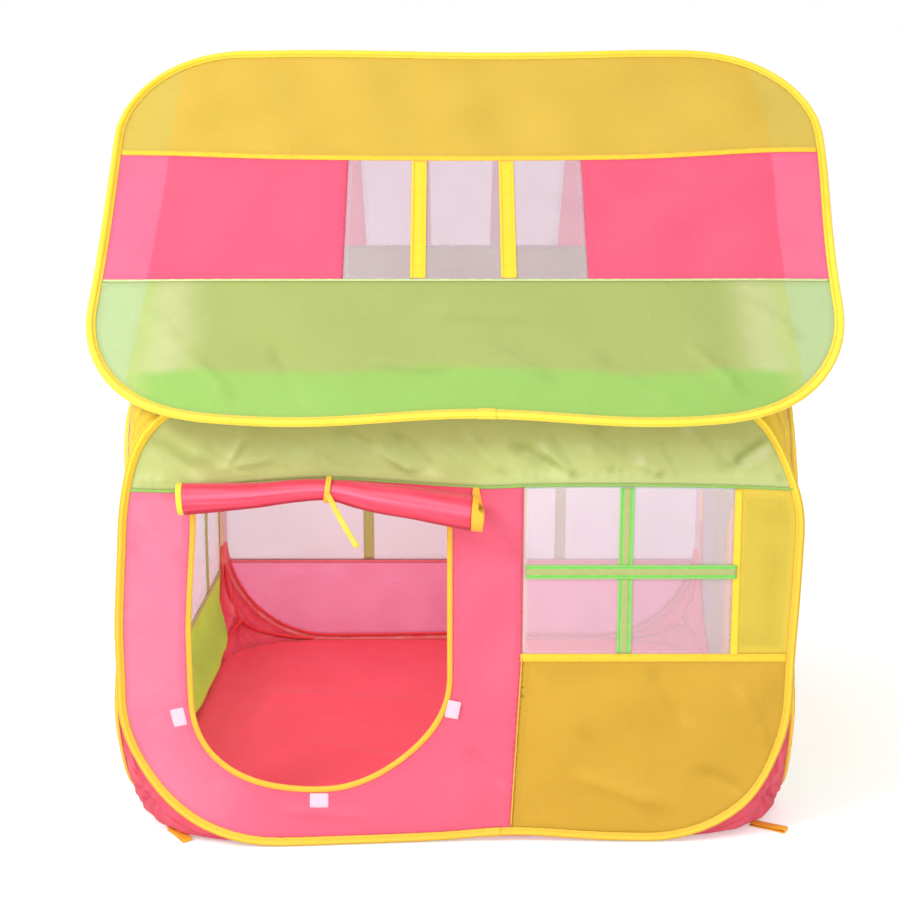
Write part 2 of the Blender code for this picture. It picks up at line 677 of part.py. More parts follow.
def roll_centre(x):
    """The middle of the roll at a place along it: outwards and upwards from the seam it hangs on."""
    radius = ROLL_RADIUS * roll_swell(x)
    return ROLL_BACK + GAP + radius, -ROLL_DROP - radius - roll_droop(x)


def roll_section(x):
    """The outline of the rolled cloth at a place along it: down behind the roll, then round and round."""
    out, up = roll_centre(x)
    swell = roll_swell(x)
    back = out - ROLL_RADIUS * swell
    line = [(back, -GAP)]
    steps = ROLL_TURNS * ROLL_STEPS_A_TURN
    for step in range(steps + 1):
        share = step / steps
        radius = (ROLL_RADIUS * (1 - share) + ROLL_CORE_RADIUS * share) * swell
        angle = math.pi + 2 * math.pi * ROLL_TURNS * share
        line.append((out + radius * math.cos(angle), up + radius * math.sin(angle)))
    left, right = [], []
    for index, point in enumerate(line):
        before, after = Vector(line[max(index - 1, 0)]), Vector(line[min(index + 1, len(line) - 1)])
        along = (after - before).normalized()
        side = Vector((-along.y, along.x)) * CLOTH / 2
        left.append(Vector(point) + side)
        right.append(Vector(point) - side)
    return left + right[::-1]


def door_roll(parent):
    """The door flap, rolled up and hanging from the header seam."""
    pivot = empty("door_roll_pivot", (0.0, HEADER_SEAM, 0.0), parent=parent)
    work = bmesh.new()
    rings = []
    for station in range(ROLL_STATIONS + 1):
        x = ROLL_CENTRE + ROLL_LENGTH * (station / ROLL_STATIONS - 0.5)
        rings.append([work.verts.new((x, p.y, p.x)) for p in roll_section(x)])
    for here, following in zip(rings, rings[1:]):
        for index in range(len(here)):
            work.faces.new((here[index - 1], here[index], following[index], following[index - 1]))
    half = len(rings[0]) // 2
    for ring in (rings[0], rings[-1]):
        for index in range(half - 1):
            work.faces.new((ring[index], ring[index + 1], ring[-index - 2], ring[-index - 1]))
    bmesh.ops.recalc_face_normals(work, faces=work.faces)
    mesh = bpy.data.meshes.new("door_roll_cloth")
    work.to_mesh(mesh)
    work.free()
    add("door_roll_cloth", mesh, "pink_cloth", pivot)
    tie_loop(pivot)
    return pivot


def ribbon(name, line, width, thickness, material, parent):
    """A narrow ribbon: a line in the plane across its width, drawn out to the width."""
    upper, lower = [], []
    for index, point in enumerate(line):
        before, after = Vector(line[max(index - 1, 0)]), Vector(line[min(index + 1, len(line) - 1)])
        along = (after - before).normalized()
        side = Vector((-along.y, along.x)) * thickness / 2
        upper.append(tuple(Vector(point) + side))
        lower.append(tuple(Vector(point) - side))
    curve = bpy.data.curves.new(name, "CURVE")
    curve.dimensions = "2D"
    curve.fill_mode = "BOTH"
    curve.extrude = width / 2
    poly_spline(curve, upper + lower[::-1])
    return add(name, curve, material, parent)


def tie_line():
    """The tie's path round the roll: from the seam in front, under the roll and up behind it."""
    out, up = roll_centre(ROLL_CENTRE)
    half_ribbon = TIE_WIDTH / 2
    steeper = max(roll_swell(ROLL_CENTRE + side * half_ribbon) for side in (-1, 1))
    radius = ROLL_RADIUS * steeper + CLOTH / 2 + GAP + TIE_THICKNESS / 2
    line = []
    for step in range(ROLL_STEPS_A_TURN + 1):
        angle = TIE_START - TIE_WRAP * step / ROLL_STEPS_A_TURN
        reach = radius / math.cos(math.pi / ROLL_STEPS_A_TURN)
        line.append((out + reach * math.cos(angle), up + reach * math.sin(angle)))
    line.append((line[-1][0], -2 * GAP))
    return line


def tie_loop(pivot):
    """The yellow tie sewn to the seam, which holds the roll up."""
    made = ribbon("roll_tie_loop", tie_line(), TIE_WIDTH, TIE_THICKNESS, "binding_orange", pivot)
    made.rotation_euler = (0.0, -math.pi / 2, 0.0)
    made.location.x = ROLL_CENTRE
    return made


def tie_tail(parent):
    """The tie's loose end, which hangs in front of the doorway."""
    up = roll_centre(ROLL_CENTRE)[1]
    ring = max(x for x, _ in tie_line())
    place = (ROLL_CENTRE, up, ring + TIE_THICKNESS / 2 + GAP + TIE_THICKNESS / 2)
    pivot = empty("tie_tail_pivot", place, parent=parent)
    top = -TIE_WIDTH / 2 * math.tan(TIE_TAIL_LEAN) - GAP
    line = []
    for step in range(TIE_TAIL_STEPS + 1):
        share = step / TIE_TAIL_STEPS
        line.append((TIE_TAIL_CURVE * math.sin(math.pi * share) ** 2, top - TIE_TAIL_LENGTH * share))
    made = ribbon("roll_tie_tail", line, TIE_WIDTH, TIE_THICKNESS, "binding_orange", pivot)
    made.matrix_local = Matrix.Rotation(TIE_TAIL_LEAN, 4, "Z") @ Matrix.Rotation(-math.pi / 2, 4, "Y")


def build_tent():
    """The whole tent at rest, set up and with its door rolled up."""
    front = front_wall()
    roll = door_roll(front)
    tie_tail(roll)
    left_pivot = empty("left_wall_pivot", (-HOOP_HALF_WIDTH + PIVOT_OFFSET, -PIVOT_DEPTH, 0.0))
    left_wall(left_pivot)
    rear_place = Vector((-HOOP_HALF_WIDTH - PIVOT_OFFSET, PIVOT_DEPTH, 0.0))
    rear_pivot = empty("rear_wall_pivot", rear_place)
    rear_wall(rear_pivot)
    right_pivot = empty("right_wall_pivot", (HOOP_HALF_WIDTH + PIVOT_OFFSET, -PIVOT_DEPTH, 0.0))
    right_wall(right_pivot)
    roof_half("front", (0.0, -WALL_DEPTH / 2, HOOP_HIGH), 0.0, None)
    roof_half("rear", Vector((0.0, WALL_DEPTH / 2, HOOP_HIGH)) - rear_place, math.pi, rear_pivot)
    bpy.context.view_layer.update()
    top_gusset("top_gusset_front_left", 1, 1, None)
    top_gusset("top_gusset_front_right", -1, 1, None)
    top_gusset("top_gusset_rear_left", 1, -1, rear_pivot)
    top_gusset("top_gusset_rear_right", -1, -1, rear_pivot)
    floor_cloth()
    anchor_tab("anchor_tab_front_left", (-1, -1), TAB_FRONT_LEFT_HEADING, None)
    anchor_tab("anchor_tab_front_right", (1, -1), TAB_FRONT_RIGHT_HEADING, None)
    anchor_tab("anchor_tab_rear_left", (-1, 1), TAB_REAR_LEFT_HEADING, rear_pivot)
    anchor_tab("anchor_tab_rear_right", (1, 1), TAB_REAR_RIGHT_HEADING, rear_pivot)


build_tent()
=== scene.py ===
"""Scene for the kids play tent: sewn cloth, clear film, sleeves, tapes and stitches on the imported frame."""

import math

import bmesh
import bpy
import numpy as np
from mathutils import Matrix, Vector
from mathutils.geometry import delaunay_2d_cdt
from mathutils.kdtree import KDTree


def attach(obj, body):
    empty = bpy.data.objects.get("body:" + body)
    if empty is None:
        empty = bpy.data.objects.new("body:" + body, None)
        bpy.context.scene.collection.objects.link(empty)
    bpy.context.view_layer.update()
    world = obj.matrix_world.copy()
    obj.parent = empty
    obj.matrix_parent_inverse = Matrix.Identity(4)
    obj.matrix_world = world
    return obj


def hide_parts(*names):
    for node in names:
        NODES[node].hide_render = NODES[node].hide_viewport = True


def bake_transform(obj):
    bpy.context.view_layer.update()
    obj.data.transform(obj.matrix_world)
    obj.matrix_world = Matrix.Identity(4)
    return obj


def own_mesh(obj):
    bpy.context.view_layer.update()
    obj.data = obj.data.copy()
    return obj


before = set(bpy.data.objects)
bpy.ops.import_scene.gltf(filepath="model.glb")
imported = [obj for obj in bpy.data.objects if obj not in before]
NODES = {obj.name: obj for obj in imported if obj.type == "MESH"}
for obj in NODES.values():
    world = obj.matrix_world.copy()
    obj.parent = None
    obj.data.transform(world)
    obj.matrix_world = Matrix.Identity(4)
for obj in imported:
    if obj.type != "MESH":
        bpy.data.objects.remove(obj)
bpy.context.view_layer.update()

# Sizes of the tent, in metres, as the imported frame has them
HALF_WIDTH = 0.5385
HALF_DEPTH = 0.490
SIDE_HALF_DEPTH = 0.4767
HOOP_LOW = 0.0061
HOOP_HIGH = 0.7635
CORNER = 0.240
ROOF_CORNER = 0.210
ROOF_HALF = 0.5915
ROOF_LOW = -0.07239
ROOF_TOP = 0.70188
ROOF_RISE = 0.0071
PITCH = math.radians(45.9)
CLOTH = 0.0006
HEADER_SEAM = 0.597
SILL = 0.316
WINDOW_RIGHT = 0.4234
BAND_SEAM = 0.45488
EAVE_SEAM = 0.18988

SIN, COS = math.sin(PITCH), math.cos(PITCH)
PLANES = {
    "front": ((0, -HALF_DEPTH, 0), (1, 0, 0), (0, 0, 1), (0, -1, 0)),
    "rear": ((0, HALF_DEPTH, 0), (-1, 0, 0), (0, 0, 1), (0, 1, 0)),
    "left": ((-HALF_WIDTH, 0, 0), (0, -1, 0), (0, 0, 1), (-1, 0, 0)),
    "right": ((HALF_WIDTH, 0, 0), (0, 1, 0), (0, 0, 1), (1, 0, 0)),
    "front_roof": ((0, -HALF_DEPTH - ROOF_RISE * SIN, HOOP_HIGH + ROOF_RISE * COS),
                   (1, 0, 0), (0, COS, SIN), (0, -SIN, COS)),
    "rear_roof": ((0, HALF_DEPTH + ROOF_RISE * SIN, HOOP_HIGH + ROOF_RISE * COS),
                  (-1, 0, 0), (0, -COS, SIN), (0, SIN, COS)),
}
PLANES = {name: tuple(np.array(v, float) for v in axes) for name, axes in PLANES.items()}
BODY = {name: name if name.endswith("roof") else name + "_wall" for name in PLANES}


# Shapes


def ease(value, low, high):
    """0 below low, 1 above high, and smooth between them."""
    share = np.clip((value - low) / (high - low), 0, 1)
    return share * share * (3 - 2 * share)


def weights(t):
    """What a smooth curve takes of its start and end and of the slopes there, at a share of the way."""
    return 2 * t ** 3 - 3 * t ** 2 + 1, t ** 3 - 2 * t ** 2 + t, 3 * t ** 2 - 2 * t ** 3, t ** 3 - t ** 2


def through(x, places, values):
    """A smooth curve through values at given places."""
    places, values = np.asarray(places, float), np.asarray(values, float)
    slopes = np.gradient(values, places)
    x = np.clip(x, places[0], places[-1])
    left = np.clip(np.searchsorted(places, x, side="right") - 1, 0, len(places) - 2)
    span = places[left + 1] - places[left]
    a, b, c, d = weights((x - places[left]) / span)
    return (a * values[left] + b * span * slopes[left]
            + c * values[left + 1] + d * span * slopes[left + 1])


def seam_wave(u):
    """How the header's lower seam rises and dips: drawn up over the tie, lower at its left."""
    return through(u, (-0.54, -0.45, -0.33, -0.2145, -0.09, 0.03, 0.10, 0.27, 0.40, 0.53),
                   (-0.012, -0.013, 0.003, 0.0095, 0.003, -0.0035, -0.001, 0.0, -0.002, -0.007))


def ripple(u, v, size, seed, count=8):
    """Soft undulations about this long, mostly between -1 and 1."""
    draw = np.random.default_rng(seed)
    total = 0.0
    for _ in range(count):
        way, phase = draw.uniform(0, 2 * math.pi, 2)
        rate = 2 * math.pi / size * draw.uniform(0.6, 1.5)
        total = total + np.sin(rate * (u * math.cos(way) + v * math.sin(way)) + phase)
    return total / (0.55 * count)


def slack(plane, flat):
    """How far a hoop's wavy line pulls the cloth up or down in its own plane."""
    u, v = flat[:, 0], flat[:, 1]
    if plane.endswith("roof"):
        turn = 1 if plane == "front_roof" else -1
        wave = 0.0075 * np.cos(2 * math.pi * (turn * u - 0.012) / 0.55) * (1 - ease(np.abs(u), 0.33, 0.50))
        ridge = 0.003 * np.sin(2 * math.pi * (turn * u + 0.10) / 0.62) * (1 - ease(np.abs(u), 0.30, 0.42))
        bow = (0.009 * (u / 0.55) ** 2 - 0.003) * ease(v, 0.33, 0.45) * (1 - ease(v, 0.46, 0.60))
        return wave * (1 - ease(v, -0.04, 0.15)) - ridge * ease(v, 0.55, 0.70) + bow
    if plane != "front":
        return 0.004 * np.exp(-((u / 0.15) ** 2)) * (1 - ease(v, 0.0, 0.13))
    return (0.010 * np.exp(-(((u - 0.085) / 0.11) ** 2)) * (1 - ease(v, 0.0, 0.13))
            + seam_wave(u) * ease(v, 0.47, 0.59) * (1 - ease(v, 0.61, 0.71)))


def place(plane, flat, out):
    """Points of a plane, with their height over it, in the tent's own frame."""
    origin, across, up, outward = PLANES[plane]
    flat = np.asarray(flat, float).reshape(-1, 2)
    rise = flat[:, 1] + slack(plane, flat)
    out = np.broadcast_to(np.asarray(out, float), rise.shape)
    return origin + flat[:, :1] * across + rise[:, None] * up + out[:, None] * outward


def flat_of(plane, points):
    """Where points of the tent's frame lie in a plane."""
    origin, across, up, _ = PLANES[plane]
    gone = np.asarray(points, float) - origin
    return np.stack([gone @ across, gone @ up], 1)


def settled_shape(points, roof, front_only):
    """Where points of the evenly built tent lie as it really stands: leaning and fuller here and there."""
    points = np.array(points, float)
    x, y, z = points.T.copy()

    def near(at_x, at_z, reach):
        return np.exp(-((x - at_x) ** 2 + (z - at_z) ** 2) / reach ** 2)

    front = 1 - ease(y, -HALF_DEPTH, 0.05)
    left = through(z, (0.0, 0.06, 0.13, 0.20, 0.28, 0.36, 0.45, 0.55, 0.63, 0.70),
                   (0.008, 0.014, 0.018, 0.019, 0.018, 0.0175, 0.011, 0.002, 0.0, 0.0))
    right = through(z, (0.0, 0.10, 0.20, 0.30, 0.42, 0.55, 0.70, 0.78),
                    (0.004, 0.011, 0.015, 0.015, 0.011, 0.009, 0.009, 0.003)) * (0 if roof else 1)
    points[:, 0] -= left * (1 - ease(x, -0.43, -0.24)) * front + right * ease(x, 0.44, 0.53) * front
    if roof:
        for at_x, at_z, reach, out, up in (
                (0.51, 1.13, 0.15, 0.023, 0.009), (-0.50, 1.17, 0.13, -0.005, 0.004),
                (-0.56, 0.78, 0.10, -0.007, -0.006), (0.57, 0.78, 0.10, 0.003, -0.004)):
            share = near(at_x, at_z, reach)
            points[:, 0] += out * share
            points[:, 2] += up * share
        points[:, 2] -= 0.004 * (1 - ease(z, 0.73, 0.80)) * (1 - ease(y, -0.45, -0.35))
        return points
    corner = near(-0.50, 0.67, 0.10) * (1 - ease(y, -0.45, -0.05))
    points[:, 0] -= 0.016 * corner
    points[:, 2] += 0.009 * corner - 0.007 * ease(z, HOOP_HIGH, 0.79)
    points[:, 0] += 0.008 * np.exp(-((x + 0.03) / 0.05) ** 2) * front * (1 - ease(z, 0.52, 0.58))
    # The foot of the front stands further out, most of all on its left
    foot = (1 - ease(z, 0.0, 0.15)) * (1 - ease(y, -HALF_DEPTH, -0.20))
    points[:, 1] -= (0.012 + 0.020 * (1 - ease(x, -0.38, 0.02))) * foot
    # The side hoops bow out a little beyond the front's lower corners, and lean in at its upper ones
    if not front_only:
        side = ease(y, -0.489, -0.478) * ease(np.abs(x), 0.47, 0.53) * np.sign(x)
        points[:, 0] += 0.008 * side * (1 - ease(y, -0.40, -0.10)) * (1 - ease(z, 0.20, 0.36))
        lean = np.where(x < 0, 0.014, 0.009) * side
        points[:, 0] -= lean * (1 - 0.7 * ease(y, -0.40, 0.10)) * ease(z, 0.28, 0.48)
    return points


def added(name, data):
    """An object of this mesh, lamp or camera, in the scene."""
    made = bpy.data.objects.new(name, data)
    bpy.context.scene.collection.objects.link(made)
    return made


FRONT_ONLY = ("front", "door", "header", "window", "hook", "tie")


def piece(name, verts, faces, material, uv=None, smooth=True, values=None):
    """A mesh object with its cloth coordinates and any values of its points."""
    verts = settled_shape(verts, "_roof" in name, name.startswith(FRONT_ONLY))
    mesh = bpy.data.meshes.new(name)
    mesh.from_pydata(np.asarray(verts, float).tolist(), [], [list(map(int, f)) for f in faces])
    if uv is not None:
        layer = mesh.uv_layers.new(name="cloth")
        corners = np.empty(len(mesh.loops), int)
        mesh.loops.foreach_get("vertex_index", corners)
        layer.data.foreach_set("uv", np.asarray(uv, np.float32)[corners].ravel())
    for label, given in (values or {}).items():
        kept = mesh.attributes.new(label, "FLOAT", "POINT")
        kept.data.foreach_set("value", np.asarray(given, np.float32))
    mesh.polygons.foreach_set("use_smooth", np.broadcast_to(smooth, len(mesh.polygons)).copy())
    mesh.materials.append(material)
    return added(name, mesh)


def run_along(points):
    """How far along a line each of its points lies."""
    return np.concatenate([[0], np.cumsum(np.linalg.norm(np.diff(points, axis=0), axis=1))])


def units(ways):
    """Directions of length 1."""
    return ways / np.linalg.norm(ways, axis=1)[:, None]


STRAIGHT, SHARP = 0.01, 0.6
LONGEST_ROUNDED = 0.12


def softened(line):
    """A closed line whose shallow corners are rounded off, and whose sharp ones stay."""
    made = []
    count = len(line)
    for i in range(count):
        before, here, there, after = (line[(i + k) % count] for k in (-1, 0, 1, 2))
        made.append(here)
        legs = [there - here, here - before, after - there]
        angles = [abs(math.atan2(a[0] * b[1] - a[1] * b[0], a @ b))
                  for a, b in ((legs[1], legs[0]), (legs[0], legs[2]))]
        if min(angles) > STRAIGHT and max(angles) < SHARP and np.linalg.norm(legs[0]) < LONGEST_ROUNDED:
            sides = [np.linalg.norm(leg) for leg in legs]
            first = (legs[1] / sides[1] + legs[0] / sides[0]) / 2
            last = (legs[0] / sides[0] + legs[2] / sides[2]) / 2
            for a, b, c, d in map(weights, (0.25, 0.5, 0.75)):
                made.append(a * here + b * first * sides[0] + c * there + d * last * sides[0])
    return np.array(made)


def rims(node, plane):
    """The edges of a flat CAD piece in its plane, each a closed line of points."""
    work = bmesh.new()
    work.from_mesh(NODES[node].data)
    bmesh.ops.remove_doubles(work, verts=work.verts, dist=1e-5)
    work.normal_update()
    outward = Vector(PLANES[plane][3])
    front = {f for f in work.faces if f.normal.dot(outward) > 0.9}
    following = {}
    for edge in work.edges:
        near = [f for f in edge.link_faces if f in front]
        if len(near) == 1:
            corner = next(c for c in near[0].loops if c.edge == edge)
            following[corner.vert] = corner.link_loop_next.vert
    lines = []
    while following:
        vert, line = next(iter(following)), []
        while vert in following:
            line.append(vert.co[:])
            vert = following.pop(vert)
        lines.append(softened(flat_of(plane, line)))
    work.free()
    return sorted(lines, key=lambda line: -np.ptp(line, axis=0).prod())


def divided(line, step, closed=True):
    """A line with points no further apart than step."""
    line = np.asarray(line, float)
    ends = np.roll(line, -1, 0) if closed else line[1:]
    parts = []
    for here, there in zip(line, ends):
        count = max(1, math.ceil(np.linalg.norm(there - here) / step))
        parts.append(here + (there - here) * (np.arange(count) / count)[:, None])
    return np.concatenate(parts if closed else parts + [line[-1:]])


def within(points, lines):
    """Which points lie inside an outline and outside its holes."""
    inside = np.zeros(len(points), bool)
    x, y = points[:, 0], points[:, 1]
    for line in lines:
        for (ax, ay), (bx, by) in zip(line, np.roll(line, -1, 0)):
            if ay != by:
                crosses = (ay > y) != (by > y)
                inside ^= crosses & (x < (bx - ax) * (y - ay) / (by - ay) + ax)
    return inside


def filled(lines, step):
    """Triangles inside an outline: points, faces, and each point's way to the rim and place along it."""
    edges = [divided(line, step) for line in lines]
    rim = np.concatenate(edges)
    low, high = rim.min(0), rim.max(0)
    columns = np.arange(low[0], high[0], step)
    rows = np.arange(low[1] + step / 2, high[1], step * 0.866)
    grid = np.stack(np.meshgrid(columns, rows), 2)
    grid[1::2, :, 0] += step / 2
    grid = grid.reshape(-1, 2)
    grid = grid[within(grid, edges)]
    fine, runs = [], []
    for line in lines:
        dense = divided(line, step / 2)
        fine.append(dense)
        run = run_along(dense)
        runs.append(np.minimum(run, run[-1] - run))
    fine, runs = np.concatenate(fine), np.concatenate(runs)
    tree = KDTree(len(fine))
    for index, point in enumerate(fine):
        tree.insert((*point, 0), index)
    tree.balance()
    near = np.array([tree.find((*p, 0))[1:] for p in grid]) if len(grid) else np.zeros((0, 2))
    grid = grid[near[:, 1] > 0.55 * step]
    links, count = [], 0
    for line in edges:
        links += [(count + i, count + (i + 1) % len(line)) for i in range(len(line))]
        count += len(line)
    given = [Vector(p) for p in np.concatenate([rim, grid])]
    points, _, faces, *_ = delaunay_2d_cdt(given, links, [], 0, 1e-7)
    points, faces = np.array([p[:] for p in points]), np.array(faces)
    faces = faces[within(points[faces].mean(1), edges)]
    a, b, c = points[faces[:, 0]], points[faces[:, 1]], points[faces[:, 2]]
    area = ((b - a)[:, 0] * (c - a)[:, 1] - (b - a)[:, 1] * (c - a)[:, 0]) / 2
    faces[area < 0] = faces[area < 0][:, ::-1]
    near = np.array([tree.find((*p, 0))[1:] for p in points])
    return points, faces, near[:, 1], runs[near[:, 0].astype(int)], np.abs(area).sum()


def closed_sheet(front, back, faces):
    """The two sides and the rim of a thin sheet."""
    count = len(front)
    ways = {}
    for face in faces:
        for here, there in zip(face, np.roll(face, -1)):
            ways[(here, there)] = ways.get((here, there), 0) + 1
    rim = [(a, b) for a, b in ways if (b, a) not in ways]
    shapes = [list(f) for f in faces] + [[i + count for i in f[::-1]] for f in faces]
    shapes += [[a, a + count, b + count, b] for a, b in rim]
    smooth = np.ones(len(shapes), bool)
    smooth[2 * len(faces):] = False
    return np.concatenate([front, back]), shapes, smooth


def sheet_piece(name, front, back, faces, material, uv, **values):
    """A thin sheet as a mesh object, with the same cloth coordinates and values on both its sides."""
    verts, shapes, smooth = closed_sheet(front, back, faces)
    return piece(name, verts, shapes, material, np.tile(uv, (2, 1)), smooth,
                 {label: np.tile(given, 2) for label, given in values.items()})


def lit_side(relief, points, edge):
    """How far each point of a panel with this relief turns to the light, or away from it below 0: it sets the
    painted highlight and shade on its folds.
    """
    near = 0.0015
    lit = np.zeros(len(points))
    for way, share in (((near, 0.0), 0.65), ((0.0, near), -0.76)):
        rise = relief(*(points + way).T) - relief(*(points - way).T)
        lit += share * rise / (2 * near)
    return lit * ease(edge, 0.002, 0.020)


def sewn(name, plane, material, step, relief):
    """One flat-cut cloth or film panel with its folds, in place of its CAD node."""
    lines = rims(name, plane)
    points, faces, edge, run, area = filled(lines, step)
    out = relief(points[:, 0], points[:, 1]) * ease(edge, 0.004, 0.036)
    if plane.endswith("roof"):
        # Over the walls' hoops the roof can't sink
        from_side = np.abs(np.abs(points[:, 0]) - HALF_WIDTH)
        free = ease(np.abs(points[:, 1]), 0.012, 0.05) * ease(from_side, 0.008, 0.04)
        out = np.where(out < 0, out * free, out)
    made = sheet_piece(name + "_sewn", place(plane, points, out + CLOTH / 2),
                       place(plane, points, out - CLOTH / 2),
                       faces, material, points, edge=edge, run=run, lit=lit_side(relief, points, edge))
    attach(made, BODY[plane])
    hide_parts(name)
    size = np.ptp(lines[0], axis=0)
    area = float(min(area, size[0] * size[1]))


def rightwards(line, closed):
    """The way to the right of a line at each of its points, in its plane."""
    line = np.asarray(line, float)
    way = units(np.roll(line, -1, 0) - np.roll(line, 1, 0) if closed else np.gradient(line, axis=0))
    return np.stack([way[:, 1], -way[:, 0]], 1)


def grid_faces(rows, columns):
    """The faces between rows of points, with as many in each row as there are columns."""
    return [(r * columns + c, r * columns + c + 1, (r + 1) * columns + c + 1, (r + 1) * columns + c)
            for r in range(rows - 1) for c in range(columns - 1)]


def tube_faces(around, along, closed=False):
    """The faces of a tube, with a cap at each end unless it is closed to a ring."""
    faces = [[a * along + c, a * along + (c + 1) % along, (a + 1) % around * along + (c + 1) % along,
              (a + 1) % around * along + c] for a in range(around)
             for c in range(along if closed else along - 1)]
    if not closed:
        faces += [[a * along for a in range(around)], [a * along + along - 1 for a in range(around)]]
    return faces


def drawn(plane, line, section, closed=False, rumple=None):
    """A section carried along a line of a plane. Its points are (way to the right, height over the plane)."""
    line = np.asarray(line, float)
    right = rightwards(line, closed)
    run = run_along(line)
    verts, uv = [], []
    around = 0.0
    for index, (side, height) in enumerate(section):
        if index:
            around += math.dist(section[index], section[index - 1])
        flat = line + right * side
        high = height + (rumple(run, side, height) if rumple else 0.0)
        verts.append(place(plane, flat, np.broadcast_to(high, len(flat))))
        uv.append(np.stack([run, np.full(len(run), around)], 1))
    return np.concatenate(verts), tube_faces(len(section), len(line), closed), np.concatenate(uv)


def outward(made):
    """Turns a closed mesh's faces outwards."""
    work = bmesh.new()
    work.from_mesh(made.data)
    bmesh.ops.recalc_face_normals(work, faces=work.faces)
    work.to_mesh(made.data)
    work.free()
    return made


def rounded(left, right, low, high, radius, steps=16):
    """A rounded rectangle, anticlockwise."""
    points = []
    for corner, (x, y) in enumerate(((right - radius, high - radius), (left + radius, high - radius),
                                     (left + radius, low + radius), (right - radius, low + radius))):
        for step in range(steps + 1):
            angle = math.pi / 2 * (corner + step / steps)
            points.append((x + radius * math.cos(angle), y + radius * math.sin(angle)))
    return np.array(points)


def half_width(plane):
    """Half of what a wall's hoop is wide."""
    return SIDE_HALF_DEPTH if plane in ("left", "right") else HALF_WIDTH


def hoop_line(plane):
    """The line of a hoop in its plane."""
    if plane.endswith("roof"):
        return rounded(-ROOF_HALF, ROOF_HALF, ROOF_LOW, ROOF_TOP, ROOF_CORNER)
    half = half_width(plane)
    return rounded(-half, half, HOOP_LOW, HOOP_HIGH, CORNER)


# Materials


def colour(red, green, blue):
    """A colour of the cloth in the values that a shader takes."""
    return tuple(v / 255 / 12.92 if v <= 10 else ((v / 255 + 0.055) / 1.055) ** 2.4
                 for v in (red, green, blue)) + (1,)


def fed(tree, made, inputs):
    """A node with its inputs linked or set."""
    for key, value in inputs.items():
        if isinstance(value, bpy.types.NodeSocket):
            tree.links.new(value, made.inputs[key])
        else:
            made.inputs[key].default_value = value
    return made


def node(tree, kind, inputs=None, **settings):
    """A shader or geometry node with its settings and inputs."""
    made = tree.nodes.new(kind)
    for key, value in settings.items():
        setattr(made, key, value)
    return fed(tree, made, inputs or {})


def maths(tree, operation, a, b=0.0, clamp=False):
    """One step of arithmetic."""
    return node(tree, "ShaderNodeMath", {0: a, 1: b}, operation=operation, use_clamp=clamp).outputs[0]


def blended(tree, share, a, b):
    """Two colours mixed by a share."""
    return node(tree, "ShaderNodeMix", {0: share, 6: a, 7: b}, data_type="RGBA").outputs[2]


def ranged(tree, value, low, high, start=1.0, end=0.0, kind="SMOOTHSTEP"):
    """A value that goes from start to end while the given one goes from low to high."""
    ends = {"Value": value, "From Min": low, "From Max": high, "To Min": start, "To Max": end}
    return node(tree, "ShaderNodeMapRange", ends, interpolation_type=kind).outputs[0]


def split(tree, vector):
    """The three parts of a vector."""
    return node(tree, "ShaderNodeSeparateXYZ", {0: vector}).outputs


def kept_value(tree, name):
    """A value that the points of a piece carry."""
    return node(tree, "ShaderNodeAttribute", attribute_name=name).outputs["Fac"]


def bumped(tree, shader, height, distance):
    """Gives a shader a bumped surface, and returns the turned normal."""
    normal = node(tree, "ShaderNodeBump", {"Height": height, "Distance": distance}).outputs[0]
    tree.links.new(normal, shader.inputs["Normal"])
    return normal


def coloured(tree, shader, shade, mottle, roughness, spread):
    """Gives a shader its colour, and a roughness that spreads with the mottling."""
    tree.links.new(shade, shader.inputs["Base Color"])
    rough = ranged(tree, mottle, 0.0, 1.0, roughness - spread[0], roughness + spread[1], "LINEAR")
    tree.links.new(rough, shader.inputs["Roughness"])


def group(name, inputs, outputs):
    """An empty shader node group with named sockets."""
    made = bpy.data.node_groups.new(name, "ShaderNodeTree")
    for label, kind, value in inputs:
        socket = made.interface.new_socket(label, in_out="INPUT", socket_type="NodeSocket" + kind)
        if value is not None:
            socket.default_value = value
    for label, kind in outputs:
        made.interface.new_socket(label, in_out="OUTPUT", socket_type="NodeSocket" + kind)
    return made, made.nodes.new("NodeGroupInput").outputs, made.nodes.new("NodeGroupOutput").inputs


